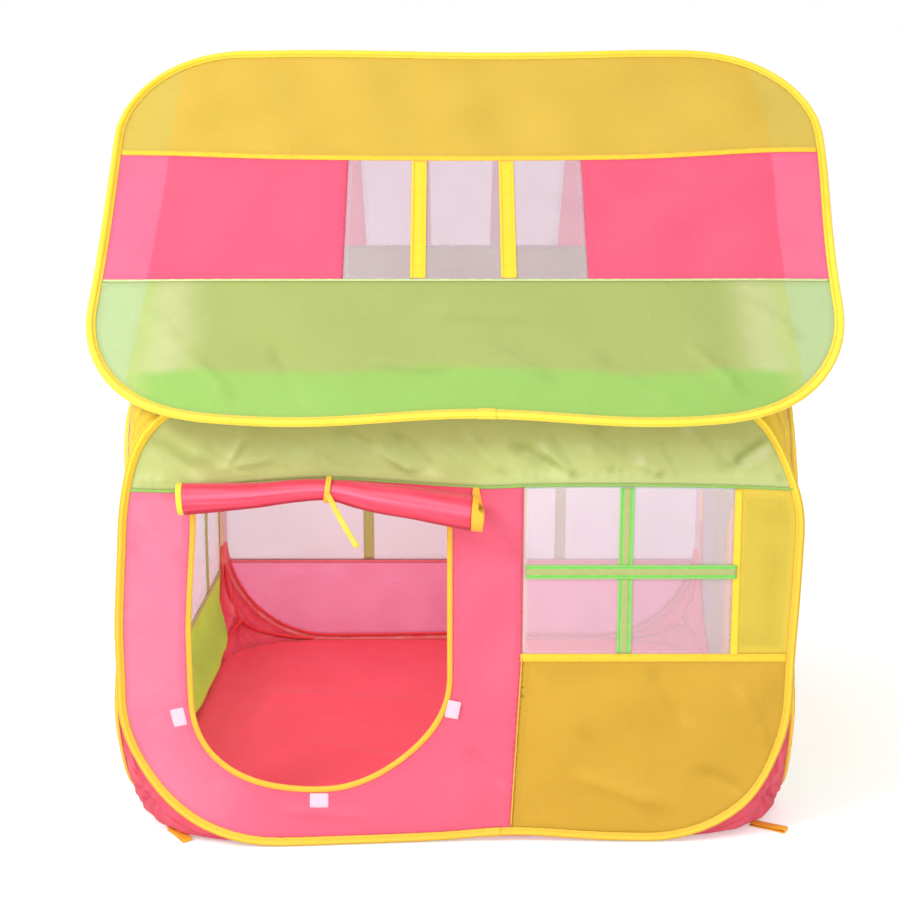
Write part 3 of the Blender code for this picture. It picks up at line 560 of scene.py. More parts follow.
def taffeta_group():
    """Thin woven polyester: its weave, its fine crinkles and the mottling that they give."""
    tree, given, out = group("taffeta", [("Cloth", "Vector", None), ("Threads", "Float", 900.0),
                                         ("Crinkle Size", "Float", 0.05), ("Crinkle", "Float", 1.0)],
                             [("Height", "Float"), ("Mottle", "Float"), ("Crease", "Float")])
    scale = maths(tree, "DIVIDE", 1.0, given["Crinkle Size"])
    broad = node(tree, "ShaderNodeTexNoise", {"Vector": given["Cloth"], "Detail": 2.0, "Roughness": 0.5,
                                              "Scale": maths(tree, "MULTIPLY", scale, 0.35)})
    shifted = node(tree, "ShaderNodeVectorMath", {0: broad.outputs["Color"], 3: 0.03}, operation="SCALE")
    bent = node(tree, "ShaderNodeVectorMath", {0: given["Cloth"], 1: shifted.outputs[0]}, operation="ADD")
    ridges = node(tree, "ShaderNodeTexNoise", {"Vector": bent.outputs[0], "Scale": scale, "Detail": 3.0,
                                               "Roughness": 0.55, "Distortion": 0.6})
    fold = maths(tree, "ABSOLUTE", maths(tree, "SUBTRACT", ridges.outputs["Fac"], 0.5))
    crease = ranged(tree, fold, 0.0, 0.07)
    yarns = {"Vector": given["Cloth"], "Scale": given["Threads"], "Distortion": 0.0}
    weave = [node(tree, "ShaderNodeTexWave", yarns, bands_direction=way).outputs["Fac"]
             for way in ("X", "Y")]
    threads = maths(tree, "MULTIPLY", maths(tree, "ADD", *weave), 0.02)
    height = maths(tree, "ADD", maths(tree, "MULTIPLY", broad.outputs["Fac"], 1.4),
                   maths(tree, "MULTIPLY", crease, maths(tree, "MULTIPLY", given["Crinkle"], 0.10)))
    tree.links.new(maths(tree, "ADD", height, threads), out["Height"])
    tree.links.new(broad.outputs["Fac"], out["Mottle"])
    tree.links.new(maths(tree, "MULTIPLY", crease, given["Crinkle"]), out["Crease"])
    return tree


def seam_group():
    """What a sewn edge does to a cloth: gathers across it, and the doubled strip of the seam allowance."""
    tree, given, out = group("seam",
                             [("Edge", "Float", 0.0), ("Run", "Float", 0.0), ("Reach", "Float", 0.016),
                              ("Pucker Length", "Float", 0.014), ("Allowance", "Float", 0.014)],
                             [("Height", "Float"), ("Doubled", "Float"), ("Near", "Float")])
    along = maths(tree, "DIVIDE", given["Run"], given["Pucker Length"])
    line = node(tree, "ShaderNodeCombineXYZ", {"X": along, "Y": maths(tree, "MULTIPLY", given["Edge"], 18.0)})
    gathers = node(tree, "ShaderNodeTexNoise", {"Vector": line.outputs[0], "Scale": 1.0, "Detail": 1.5})
    inwards = maths(tree, "MULTIPLY", given["Edge"], -1.0)
    fade = maths(tree, "POWER", 2.718, maths(tree, "DIVIDE", inwards, given["Reach"]))
    tree.links.new(maths(tree, "MULTIPLY", gathers.outputs["Fac"], fade), out["Height"])
    inner = maths(tree, "MULTIPLY", given["Allowance"], 0.92)
    tree.links.new(ranged(tree, given["Edge"], inner, given["Allowance"], kind="LINEAR"), out["Doubled"])
    tree.links.new(fade, out["Near"])
    return tree


def zone_group():
    """A soft-edged zone of the cloth, beyond a place across or up it."""
    tree, given, out = group("zone",
                             [("Value", "Float", 0.0), ("Start", "Float", 0.0), ("Blur", "Float", 0.01),
                              ("Cloth", "Vector", None), ("Wobble", "Float", 0.0)],
                             [("Mask", "Float")])
    drift = node(tree, "ShaderNodeTexNoise", {"Vector": given["Cloth"], "Scale": 9.0, "Detail": 2.0})
    moved = maths(tree, "ADD", given["Value"],
                  maths(tree, "MULTIPLY", maths(tree, "SUBTRACT", drift.outputs["Fac"], 0.5),
                        given["Wobble"]))
    full = maths(tree, "ADD", given["Start"], given["Blur"])
    tree.links.new(ranged(tree, moved, given["Start"], full, 0.0, 1.0), out["Mask"])
    return tree


TAFFETA, SEAM, ZONE = taffeta_group(), seam_group(), zone_group()


def start_material(name, slot, roughness, sheen=0.0):
    """A material with one Principled shader, and the record's slot that it finishes."""
    made = bpy.data.materials.new(name)
    made.use_nodes = True
    made["slot"] = slot
    shader = made.node_tree.nodes["Principled BSDF"]
    shader.inputs["Roughness"].default_value = roughness
    shader.inputs["Sheen Weight"].default_value = sheen
    shader.inputs["Sheen Roughness"].default_value = 0.4
    shader.inputs["Specular IOR Level"].default_value = 0.35
    return made, made.node_tree, shader


def placed(tree, kind, inputs):
    """A shared node group placed in a material."""
    made = tree.nodes.new("ShaderNodeGroup")
    made.node_tree = kind
    return fed(tree, made, inputs).outputs


def cloth(name, slot, main, deep, zones=(), glow=0.30, crinkle=1.0, crinkle_size=0.05, roughness=0.5,
          depth=0.0022, painted_fold_light=1.0, light=None, dark=None, rim=None):
    """Thin coloured taffeta. zones are (axis, sign, start, blur, wobble, colour, share).
    rim is (colour, width)."""
    made, tree, shader = start_material(name, slot, roughness, sheen=0.15)
    where = node(tree, "ShaderNodeUVMap", uv_map="cloth").outputs[0]
    axes = split(tree, where)
    edge = kept_value(tree, "edge")
    weave = placed(tree, TAFFETA, {"Cloth": where, "Crinkle": crinkle, "Crinkle Size": crinkle_size})
    seam = placed(tree, SEAM, {"Edge": edge, "Run": kept_value(tree, "run")})
    shade = blended(tree, maths(tree, "MULTIPLY", weave["Mottle"], 0.55), colour(*main), colour(*deep))
    for axis, sign, start, blur, wobble, tint, share in zones:
        if axis == "sides":
            # Both sides at once, a little further out at the foot
            rise = maths(tree, "MULTIPLY", axes[1], 0.045)
            value = maths(tree, "ADD", maths(tree, "ABSOLUTE", axes[0]), rise)
        else:
            value = axes[axis]
        mask = placed(tree, ZONE,
                      {"Value": maths(tree, "MULTIPLY", value, sign), "Start": start, "Blur": blur,
                                   "Cloth": where, "Wobble": wobble})
        tinted = blended(tree, maths(tree, "MULTIPLY", weave["Mottle"], 0.25), colour(*tint), colour(*deep))
        shade = blended(tree, maths(tree, "MULTIPLY", mask["Mask"], share), shade, tinted)
    if rim:
        near = ranged(tree, edge, rim[1] * 0.35, rim[1])
        shade = blended(tree, maths(tree, "MULTIPLY", near, 0.8), shade, colour(*rim[0]))
    # Painted shade in the fine creases
    shade = blended(tree, maths(tree, "MULTIPLY", weave["Crease"], 0.05), shade, colour(*deep))
    shade = blended(tree, maths(tree, "MULTIPLY", seam["Doubled"], 0.18), shade, colour(*deep))
    # Painted highlight on the side of a fold that turns to the light, and painted shade on the side that
    # turns away
    lit = kept_value(tree, "lit")
    for turn, tint in ((1.6, light or [min(255, c + 16) for c in main]),
                       (-1.6, dark or [int(c * 0.86) for c in deep])):
        share = maths(tree, "MULTIPLY", maths(tree, "MULTIPLY", lit, turn * painted_fold_light, clamp=True), 0.8)
        shade = blended(tree, share, shade, colour(*tint))
    coloured(tree, shader, shade, weave["Mottle"], roughness, (0.08, 0.12))
    height = maths(tree, "ADD", weave["Height"], maths(tree, "MULTIPLY", seam["Height"], 0.9))
    normal = bumped(tree, shader, height, depth)
    passed = node(tree, "ShaderNodeBsdfTranslucent", {"Color": shade, "Normal": normal})
    mixed = node(tree, "ShaderNodeMixShader", {0: glow, 1: shader.outputs[0], 2: passed.outputs[0]})
    tree.links.new(mixed.outputs[0], tree.nodes["Material Output"].inputs["Surface"])
    return made


def clear_film(name, tint, haze):
    """Milky clear film: see-through, with long soft waves and a few sharp creases that catch the light."""
    made, tree, shader = start_material(name, "clear_film", 0.16)
    where = node(tree, "ShaderNodeUVMap", uv_map="cloth").outputs[0]
    weave = placed(tree, TAFFETA, {"Cloth": where, "Threads": 0.0, "Crinkle Size": 0.20, "Crinkle": 0.5})
    seam = placed(tree, SEAM,
                  {"Edge": kept_value(tree, "edge"), "Run": kept_value(tree, "run"), "Reach": 0.012,
                               "Pucker Length": 0.02, "Allowance": 0.008})
    paler = [min(255, c + 8) for c in tint]
    tree.links.new(blended(tree, weave["Mottle"], colour(*tint), colour(*paler)),
                   shader.inputs["Base Color"])
    cloud = maths(tree, "ADD", maths(tree, "MULTIPLY", weave["Mottle"], 0.10), haze - 0.05)
    cloud = maths(tree, "ADD", cloud, maths(tree, "MULTIPLY", weave["Crease"], 0.015))
    cloud = maths(tree, "ADD", cloud, maths(tree, "MULTIPLY", seam["Doubled"], 0.05), clamp=True)
    tree.links.new(cloud, shader.inputs["Alpha"])
    height = maths(tree, "ADD", weave["Height"], maths(tree, "MULTIPLY", seam["Height"], 0.5))
    bumped(tree, shader, height, 0.0004)
    return made


def tape(name, slot, main, deep, ribs=900.0, roughness=0.5, low=None, sheen=0.2, painted_groove_shade=()):
    """Narrow binding or tape, ribbed across its length.
    low is (colour, height, blur) of a change up the tent.
    The groove lines are (place, half width, colour, share) of lines of painted shade along it."""
    made, tree, shader = start_material(name, slot, roughness, sheen)
    where = node(tree, "ShaderNodeUVMap", uv_map="cloth").outputs[0]
    spot = node(tree, "ShaderNodeTexCoord").outputs["Object"]
    weave = placed(tree, TAFFETA, {"Cloth": where, "Threads": ribs, "Crinkle Size": 0.018, "Crinkle": 0.8})
    shade = colour(*main)
    if low:
        mask = placed(tree, ZONE,
                      {"Value": split(tree, spot)[2], "Start": low[1], "Blur": low[2], "Cloth": spot,
                                   "Wobble": 0.08})
        shade = blended(tree, mask["Mask"], colour(*low[0]), shade)
    shade = blended(tree, maths(tree, "MULTIPLY", weave["Mottle"], 0.45), shade, colour(*deep))
    # Painted shade in the creases
    shade = blended(tree, maths(tree, "MULTIPLY", weave["Crease"], 0.25), shade, colour(*deep))
    # Painted shade along the groove lines between a binding's ridges and by its stitching
    around = split(tree, where)[1]
    for at, half, tint, amount in painted_groove_shade:
        away = maths(tree, "ABSOLUTE", maths(tree, "SUBTRACT", around, at))
        shade = blended(tree, ranged(tree, away, half * 0.3, half, amount), shade, colour(*tint))
    coloured(tree, shader, shade, weave["Mottle"], roughness, (0.08, 0.1))
    bumped(tree, shader, weave["Height"], 0.0012)
    return made


M = {
    # Painted light: the door panel is lighter towards its left side
    "door": cloth("pink_taffeta_front", "pink_cloth", (255, 122, 152), (246, 92, 126),
                  zones=[(0, -1, 0.28, 0.22, 0.08, (255, 150, 182), 0.95)]),
    # Painted light from behind: the overhanging sides are lighter where backdrop light comes through the
    # single layer
    "roof_pink": cloth("pink_taffeta_roof", "pink_cloth", (255, 112, 146), (240, 86, 124),
                       zones=[("sides", 1, 0.516, 0.006, 0.004, (255, 134, 172), 0.85)]),
    # Painted light from behind: the band's overhanging sides are paler where backdrop light comes through the
    # single layer
    "band": cloth("yellow_taffeta_ridge", "yellow_cloth", (240, 208, 84), (222, 184, 56), crinkle=0.6,
                  zones=[("sides", 1, 0.517, 0.006, 0.004, (228, 208, 98), 0.85)]),
    # Painted light through the thin cloth: paler towards and over its overhanging sides, where backdrop light
    # comes through, and a brighter green low down, where the green header behind it shows through
    "eave": cloth("green_taffeta_eave", "green_cloth", (192, 206, 122), (176, 190, 100), crinkle=0.8,
                  zones=[("sides", 1, 0.40, 0.07, 0.05, (224, 230, 172), 0.80),
                         (1, -1, -0.025, 0.022, 0.02, (172, 220, 112), 1.0),
                         ("sides", 1, 0.47, 0.045, 0.04, (206, 226, 140), 0.8),
                         ("sides", 1, 0.514, 0.007, 0.004, (206, 228, 176), 0.95)]),
    # Painted shadow and light: darker olive at its top under the roof's eave, lighter low down by the seam;
    # light and dark are the painted highlight and painted shade on its folds
    "header": cloth("green_taffeta_header", "green_cloth", (220, 230, 150), (200, 208, 120), crinkle=0.9,
                    crinkle_size=0.07, depth=0.0035, roughness=0.42, painted_fold_light=1.0, light=(240, 246, 190),
                    dark=(160, 172, 88), zones=[(1, 1, 0.640, 0.045, 0.04, (200, 198, 112), 0.75),
                                                (1, -1, -0.625, 0.025, 0.02, (228, 240, 170), 0.8)]),
    "yellow": cloth("yellow_taffeta", "yellow_cloth", (232, 192, 66), (214, 168, 40)),
    "jamb": cloth("yellow_taffeta_jamb", "yellow_cloth", (236, 214, 84), (216, 192, 62),
                  rim=((250, 224, 84), 0.020)),
    "gable": cloth("yellow_taffeta_gable", "yellow_cloth", (242, 212, 84), (226, 186, 52)),
    "corner": cloth("yellow_taffeta_corner", "yellow_cloth", (255, 232, 84), (246, 208, 56),
                    crinkle_size=0.03, glow=0.40),
    "olive": cloth("olive_taffeta", "olive_cloth", (222, 250, 112), (204, 234, 92), glow=0.40),
    "red": cloth("red_taffeta_floor", "red_cloth", (255, 88, 112), (238, 66, 88), crinkle=0.7, glow=0.10),
    # light and dark are the painted highlight and painted shade on its folds
    "red_corner": cloth("red_taffeta_corner", "red_cloth", (250, 112, 138), (232, 74, 100),
                        crinkle_size=0.035, glow=0.40, painted_fold_light=1.2, light=(255, 160, 178), dark=(196, 40, 66)),
    # light and dark are the painted highlight over the roll's top and folds and the painted shade under it
    "roll": cloth("pink_taffeta_roll", "pink_cloth", (252, 84, 110), (236, 58, 88), glow=0.12,
                  roughness=0.36, crinkle_size=0.035, depth=0.0016, painted_fold_light=0.5, light=(255, 124, 156),
                  dark=(186, 26, 58)),
    "film": clear_film("clear_window_film", (236, 226, 240), 0.24),
    "film_back": clear_film("clear_window_film_rear", (208, 184, 202), 0.46),
    "pink_back": cloth("pink_taffeta_rear", "pink_cloth", (255, 188, 222), (255, 166, 206), glow=0.45,
                       crinkle_size=0.07),
    "olive_back": cloth("olive_taffeta_right", "olive_cloth", (204, 205, 158), (190, 192, 138), glow=0.40,
                        zones=[(0, 1, 0.300, 0.04, 0.01, (214, 211, 204), 0.9)]),
    # Painted shade: the binding turns from bright yellow to orange lower on the tent, where less light falls;
    # the groove lines are painted shade between its ridges and by its stitching
    "binding": tape("binding_yellow_sleeve", "sleeve_yellow", (255, 228, 62), (240, 192, 38),
                    low=((255, 198, 66), 0.50, 0.22),
                    painted_groove_shade=[(0.0142, 0.0024, (206, 166, 14), 0.85), (0.0006, 0.0010, (214, 170, 40), 0.6),
                             (0.0052, 0.0010, (236, 184, 34), 0.5)]),
    # The groove lines are painted shade between the binding's ridges
    "roof_binding": tape("binding_yellow_roof", "sleeve_yellow", (255, 218, 58), (244, 194, 40),
                         low=((255, 236, 78), 0.88, 0.14),
                         painted_groove_shade=[(0.0056, 0.0014, (230, 186, 24), 0.8),
                                  (0.0180, 0.0020, (236, 196, 40), 0.7)]),
    "lower_edge": tape("amber_panel_edge", "binding_orange", (236, 172, 62), (224, 150, 46)),
    "orange": tape("binding_orange_tape", "binding_orange", (252, 192, 58), (236, 158, 34)),
    "yellow_tape": tape("yellow_window_tape", "yellow_cloth", (255, 216, 52), (240, 184, 34)),
    "sill_tape": tape("orange_sill_tape", "yellow_cloth", (255, 208, 48), (238, 168, 30)),
    "green_tape": tape("green_window_tape", "green_cloth", (146, 222, 112), (116, 200, 84)),
    "green_edge": tape("green_bar_fold", "green_cloth", (136, 210, 104), (112, 190, 82)),
    "seam_green": tape("green_header_seam", "green_cloth", (156, 190, 98), (124, 160, 70)),
    "eave_tape": tape("green_eave_seam", "green_cloth", (222, 230, 172), (184, 198, 118)),
    "tie": tape("yellow_tie_ribbon", "sleeve_yellow", (250, 196, 66), (236, 168, 44),
                low=((246, 226, 84), 0.535, 0.045)),
    "olive_tape": tape("olive_window_tape", "olive_cloth", (178, 182, 118), (156, 162, 92)),
    "red_tape": tape("red_seam_tape", "red_cloth", (238, 66, 72), (206, 40, 52)),
    "pink_tape": tape("pink_seam_tape", "pink_cloth", (232, 100, 132), (214, 78, 110)),
    "webbing": tape("orange_webbing", "webbing_orange", (255, 186, 26), (232, 142, 16), ribs=300.0,
                    roughness=0.6),
}
for name, low_tint, tint, sill in (("rear", (236, 52, 62), (222, 196, 208), 0.222),
                                   ("left", (220, 44, 52), (222, 204, 170), 0.222),
                                   ("right", (222, 120, 60), (232, 196, 110), 0.280)):
    slot = "clear_film" if name != "right" else "olive_cloth"
    M["cover_" + name] = tape(f"{name}_inner_seam_cover", slot, tint, tuple(c - 12 for c in tint),
                              low=(low_tint, sill, 0.006), sheen=0.1)
M["hook"] = tape("hook_tape_lilac", "hook_tape", (240, 206, 226), (214, 176, 204), ribs=700.0,
                 roughness=0.85)


def plain(name, slot, main, deep, roughness, metallic=0.0):
    """A material without cloth coordinates: small thread or wire, mottled a little."""
    made, tree, shader = start_material(name, slot, roughness)
    spot = node(tree, "ShaderNodeTexCoord").outputs["Object"]
    grain = node(tree, "ShaderNodeTexNoise", {"Vector": spot, "Scale": 60.0, "Detail": 3.0}).outputs["Fac"]
    shader.inputs["Metallic"].default_value = metallic
    coloured(tree, shader, blended(tree, grain, colour(*main), colour(*deep)), grain, roughness,
             (0.06, 0.1))
    bumped(tree, shader, grain, 0.0003)
    return made


M["stitch"] = plain("seam_thread_yellow", "sleeve_yellow", (250, 220, 110), (232, 190, 66), 0.5)
M["green_stitch"] = plain("seam_thread_green", "green_cloth", (150, 214, 100), (110, 184, 70), 0.5)
M["wire"] = plain("hoop_spring_steel", "spring_steel", (150, 152, 156), (110, 112, 118), 0.3, metallic=1.0)


# Panels


def creases(u, v, folds):
    """The height of folds, each (from, to, half width, height)."""
    out = np.zeros(len(u))
    for (ax, ay), (bx, by), width, height in folds:
        length = math.hypot(bx - ax, by - ay)
        along = ((u - ax) * (bx - ax) + (v - ay) * (by - ay)) / length ** 2
        aside = ((u - ax) * (by - ay) - (v - ay) * (bx - ax)) / length
        out += (height * np.exp(-(aside / width) ** 2) * ease(along, -0.15, 0.25)
                * (1 - ease(along, 0.75, 1.15)))
    return out


def loose(height, size, seed, folds=(), bars=()):
    """The relief of a panel: soft undulations and its own folds, held flat under its bars (axis, place)."""
    def relief(u, v):
        out = height * ripple(u, v, size, seed) + creases(u, v, folds)
        for axis, at in bars:
            out = out * ease(np.abs((u, v)[axis] - at), 0.014, 0.055)
        return out
    return relief


def inward(relief):
    """A slack panel's relief, which sinks into the tent near its foot at the rear."""
    def sunken(u, v):
        return relief(u, v) - 0.034 * np.exp(-((v - 0.055) / 0.055) ** 2) * (1 - ease(u, -0.05, 0.35))
    return sunken


HEADER_FOLDS = [
    ((-0.489, 0.674), (-0.406, 0.616), 0.010, -0.0075), ((-0.516, 0.610), (-0.454, 0.612), 0.009, 0.0030),
    ((-0.470, 0.690), (-0.395, 0.640), 0.012, 0.0050), ((-0.372, 0.626), (-0.345, 0.668), 0.006, 0.0022),
    ((-0.372, 0.626), (-0.300, 0.633), 0.006, 0.0018), ((-0.330, 0.690), (-0.250, 0.640), 0.011, -0.0040),
    ((-0.109, 0.676), (-0.047, 0.612), 0.009, -0.0080), ((-0.140, 0.652), (-0.078, 0.614), 0.009, 0.0070),
    ((-0.200, 0.680), (-0.120, 0.640), 0.011, -0.0050), ((0.000, 0.680), (0.060, 0.620), 0.010, 0.0050),
    ((0.074, 0.661), (0.151, 0.612), 0.009, -0.0090), ((0.117, 0.661), (0.171, 0.612), 0.009, 0.0075),
    ((0.200, 0.690), (0.270, 0.640), 0.011, -0.0050), ((0.270, 0.637), (0.304, 0.612), 0.008, 0.0050),
    ((0.340, 0.690), (0.400, 0.630), 0.010, 0.0050), ((0.492, 0.681), (0.418, 0.628), 0.010, -0.0060),
    ((0.460, 0.650), (0.500, 0.612), 0.009, 0.0050),
]
# Small folds beside the large ones, and short puckers that rise from the seam
chance = np.random.default_rng(29)
for middle, count, spread in ((-0.44, 4, 0.05), (-0.27, 7, 0.09), (-0.08, 8, 0.09), (0.10, 11, 0.10),
                              (0.26, 8, 0.09), (0.43, 6, 0.07)):
    for _ in range(count):
        at, foot = middle + chance.uniform(-spread, spread), chance.uniform(0.606, 0.632)
        rise = chance.uniform(0.030, 0.070)
        HEADER_FOLDS.append(((at, foot + rise), (at + rise * chance.uniform(0.7, 1.3), foot),
                             chance.uniform(0.0035, 0.0060),
                             chance.choice((-1, 1)) * chance.uniform(0.0009, 0.0021)))
for at in np.concatenate([np.arange(0.085, 0.30, 0.019), np.arange(-0.50, -0.46, 0.016)]):
    top = 0.616 + chance.uniform(0, 0.012)
    HEADER_FOLDS.append(((at, top), (at + chance.uniform(-0.004, 0.010), HEADER_SEAM),
                         chance.uniform(0.003, 0.005), chance.uniform(0.0005, 0.0011)))
DOOR_FOLDS = [
    ((-0.505, 0.560), (-0.440, 0.470), 0.009, 0.0035), ((-0.520, 0.500), (-0.450, 0.400), 0.010, -0.0035),
    ((0.020, 0.560), (0.075, 0.480), 0.010, 0.0035), ((-0.480, 0.200), (-0.400, 0.110), 0.012, 0.0040),
    ((0.000, 0.150), (0.070, 0.090), 0.012, -0.0040), ((-0.300, 0.060), (-0.160, 0.045), 0.008, 0.0025),
]
LOWER_FOLDS = [
    ((0.110, 0.280), (0.200, 0.180), 0.012, 0.0035), ((0.300, 0.290), (0.360, 0.200), 0.012, -0.0035),
    ((0.440, 0.260), (0.510, 0.160), 0.012, 0.0040), ((0.180, 0.110), (0.330, 0.060), 0.013, 0.0040),
    ((0.380, 0.120), (0.480, 0.070), 0.011, -0.0040),
]
EAVE_FOLDS = [
    ((-0.430, 0.040), (-0.360, -0.030), 0.010, 0.0040), ((-0.300, 0.060), (-0.250, -0.040), 0.012, -0.0035),
    ((-0.150, 0.030), (-0.040, 0.010), 0.009, 0.0035), ((0.020, 0.055), (0.130, 0.000), 0.010, 0.0035),
    ((0.210, 0.045), (0.290, -0.030), 0.012, -0.0040), ((0.350, 0.060), (0.420, -0.020), 0.010, 0.0040),
    ((-0.060, 0.130), (0.090, 0.110), 0.014, 0.0030), ((0.440, 0.150), (0.520, 0.080), 0.012, 0.0035),
    ((-0.520, 0.140), (-0.450, 0.080), 0.012, 0.0035),
]
PANELS = [
    ("front_header", "front", "header", 0.0060, loose(0.0022, 0.13, 3, HEADER_FOLDS)),
    ("door_panel", "front", "door", 0.0075, loose(0.0022, 0.16, 5, DOOR_FOLDS)),
    ("front_jamb", "front", "jamb", 0.0075, loose(0.0016, 0.10, 7)),
    ("front_lower_panel", "front", "yellow", 0.0075, loose(0.0018, 0.17, 9, LOWER_FOLDS)),
    ("front_window_film", "front", "film", 0.0090, loose(0.0022, 0.16, 11, (), ((0, 0.2532), (1, 0.4566)))),
    ("left_window_film", "left", "film_back", 0.0130, loose(0.0035, 0.20, 13, (), ((0, 0.28), (0, -0.28)))),
    ("left_lower_panel", "left", "olive", 0.0110, inward(loose(0.0030, 0.15, 15))),
    ("left_gable", "left", "gable", 0.0120, loose(0.0030, 0.18, 17)),
    ("rear_window_film", "rear", "film_back", 0.0130,
     loose(0.0035, 0.20, 19, (), ((0, 0.207), (0, -0.222)))),
    ("rear_lower_panel", "rear", "pink_back", 0.0120, loose(0.0035, 0.15, 21)),
    ("right_wall_cloth", "right", "olive_back", 0.0120, loose(0.0030, 0.18, 23)),
    ("right_arch_panel", "right", "gable", 0.0120, loose(0.0030, 0.15, 25)),
    ("right_gable", "right", "gable", 0.0120, loose(0.0030, 0.18, 27)),
]
for plane, seed, turn, fine in (("front_roof", 31, 1, 0.0075), ("rear_roof", 51, -1, 0.0110)):
    PANELS += [
        (plane + "_ridge_band", plane, "band", fine, loose(0.0026, 0.22, seed)),
        (plane + "_cheek_left", plane, "roof_pink", fine, loose(0.0026, 0.18, seed + 2)),
        (plane + "_cheek_right", plane, "roof_pink", fine, loose(0.0026, 0.18, seed + 4)),
        (plane + "_eave_band", plane, "eave", fine, loose(0.0026, 0.20, seed + 6, EAVE_FOLDS)),
        (plane + "_window_film", plane, "film" if turn > 0 else "film_back", fine * 1.3,
         loose(0.0026, 0.13, seed + 8, (), ((0, turn * -0.0765), (0, turn * 0.07)))),
    ]
for name, plane, kind, step, relief in PANELS:
    sewn(name, plane, M[kind], step, relief)


# Hoops and bindings

WIRE_RADIUS = 0.0018
AROUND = 10


def circle(radius, start, end, steps):
    """Points of an arc round the middle of a section."""
    return [(radius * math.cos(a), radius * math.sin(a)) for a in np.linspace(start, end, steps)]


def round_section(radius):
    """The section of a wire or a welt."""
    return circle(radius, 0, 2 * math.pi * 0.9, AROUND)


def sleeve_section(radius, reach, slit=0.0005, wall=0.0006):
    """A tube of cloth round the hoop, whose two edges close over the panel and are sewn through it."""
    out_from = math.pi - math.asin((slit + wall) / radius)
    in_from = math.pi - math.asin(slit / (radius - wall))
    outer = [(-reach, slit + wall)] + circle(radius, out_from, -out_from, 17) + [(-reach, -slit - wall)]
    inner = [(-reach, -slit)] + circle(radius - wall, -in_from, in_from, 17) + [(-reach, slit)]
    return outer + inner


def gathered(height, length, seed):
    """Small gathers along a tape, which only ever lift it off what it lies on."""
    draw = np.random.default_rng(seed)
    parts = [(draw.uniform(0.6, 1.6) * 2 * math.pi / length, draw.uniform(0, 6.3)) for _ in range(5)]

    def rumple(run, side, high):
        wave = sum(np.sin(rate * run + phase + 60.0 * side) for rate, phase in parts) / 5
        return math.copysign(height, high) * (0.5 + wave) if abs(high) > 0.0003 else np.zeros(len(run))
    return rumple


STITCHES = {}


def stitch_row(plane, line, aside, out, closed=False, kind="stitch"):
    """Keeps a line of stitches, which are all made at the end."""
    line = np.asarray(line, float)
    row = place(plane, line + rightwards(line, closed) * aside, np.full(len(line), out))
    STITCHES.setdefault((BODY[plane], kind), []).append((row, closed))


def strip(name, plane, line, width, low, high, kind, crown=0.0004, node=None, seed=1):
    """A flat tape along a line of a plane, from one height over it to another."""
    line = divided(line, 0.006, False)
    sides = [0.5, 0.42, 0.2, 0.0, -0.2, -0.42, -0.5]
    way = 1 if high > low else -1
    top = [(width * s, high + way * crown * (1 - (2 * s) ** 2)) for s in sides]
    under = [(width * s, low) for s in reversed(sides)]
    lift = gathered(0.0004, 0.03, seed)

    def only_top(run, side, high):
        return np.zeros(len(run)) if high == low else lift(run, side, high)
    made = built(name, drawn(plane, line, top + under, rumple=only_top), kind)
    settled(made, BODY[plane], node)


def built(name, shape, kind):
    """A mesh object of a drawn shape, with its faces turned outwards."""
    verts, faces, uv = shape
    return outward(piece(name, verts, faces, M[kind], uv))


def settled(made, body, node=None):
    """Lets a piece ride its body, and hides the CAD node that it stands for."""
    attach(made, body)
    if node:
        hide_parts(node)
    return made


def cover(plane):
    """A strip of the wall's own cloth that hides the sleeve on the inside of the tent."""
    outer = [(-0.0130, -0.0014), (-0.0100, -0.0017)] + circle(0.0062, -2.75, -0.25, 11)
    inner = ([(0.0052, -0.0012)] + circle(0.0056, -0.25, -2.75, 11)
             + [(-0.0100, -0.0012), (-0.0130, -0.0009)])
    line = divided(hoop_line(plane), 0.008)
    kind = "cover_" + plane
    made = built(plane + "_inner_cover", drawn(plane, line, outer + inner, closed=True), kind)
    settled(made, BODY[plane])


for plane, body in BODY.items():
    if plane.endswith("roof"):
        kind, joint, size = "roof_binding", (0.034, ROOF_LOW), (0.0056, 0.0104)
    else:
        kind, joint, size = "binding", (0.046, HOOP_LOW), (0.0049, 0.0098)
    line = divided(hoop_line(plane), 0.006)
    line = np.roll(line, -int(np.argmin(np.linalg.norm(line - joint, axis=1))), 0)
    lift = gathered(0.0005, 0.022, list(BODY).index(plane) + 2)
    tube = built(plane + "_sleeve", drawn(plane, line, sleeve_section(*size), closed=True, rumple=lift),
                 kind)
    settled(tube, body, plane + "_binding")
    wire_line = divided(hoop_line(plane), 0.012)
    wire = built(plane + "_wire", drawn(plane, wire_line, round_section(WIRE_RADIUS), closed=True), "wire")
    settled(wire, body, plane + "_hoop_wire")
    for out in (0.0016, -0.0016):
        stitch_row(plane, line, -0.0068, out, closed=True)
for plane in ("rear", "left", "right"):
    cover(plane)
# Where a sleeve's two ends overlap
for plane, low, ends, size, kind in (("front_roof", ROOF_LOW, (0.018, 0.050), (0.0062, 0.0112),
                                      "roof_binding"),
                                     ("front", HOOP_LOW, (0.030, 0.062), (0.0058, 0.0106), "binding")):
    line = np.array([(u, low) for u in np.arange(*ends, 0.004)])
    joint = built(plane + "_sleeve_joint", drawn(plane, line, sleeve_section(*size, 0.0016, 0.0006)), kind)
    settled(joint, BODY[plane])


# Door edging, tapes and bars

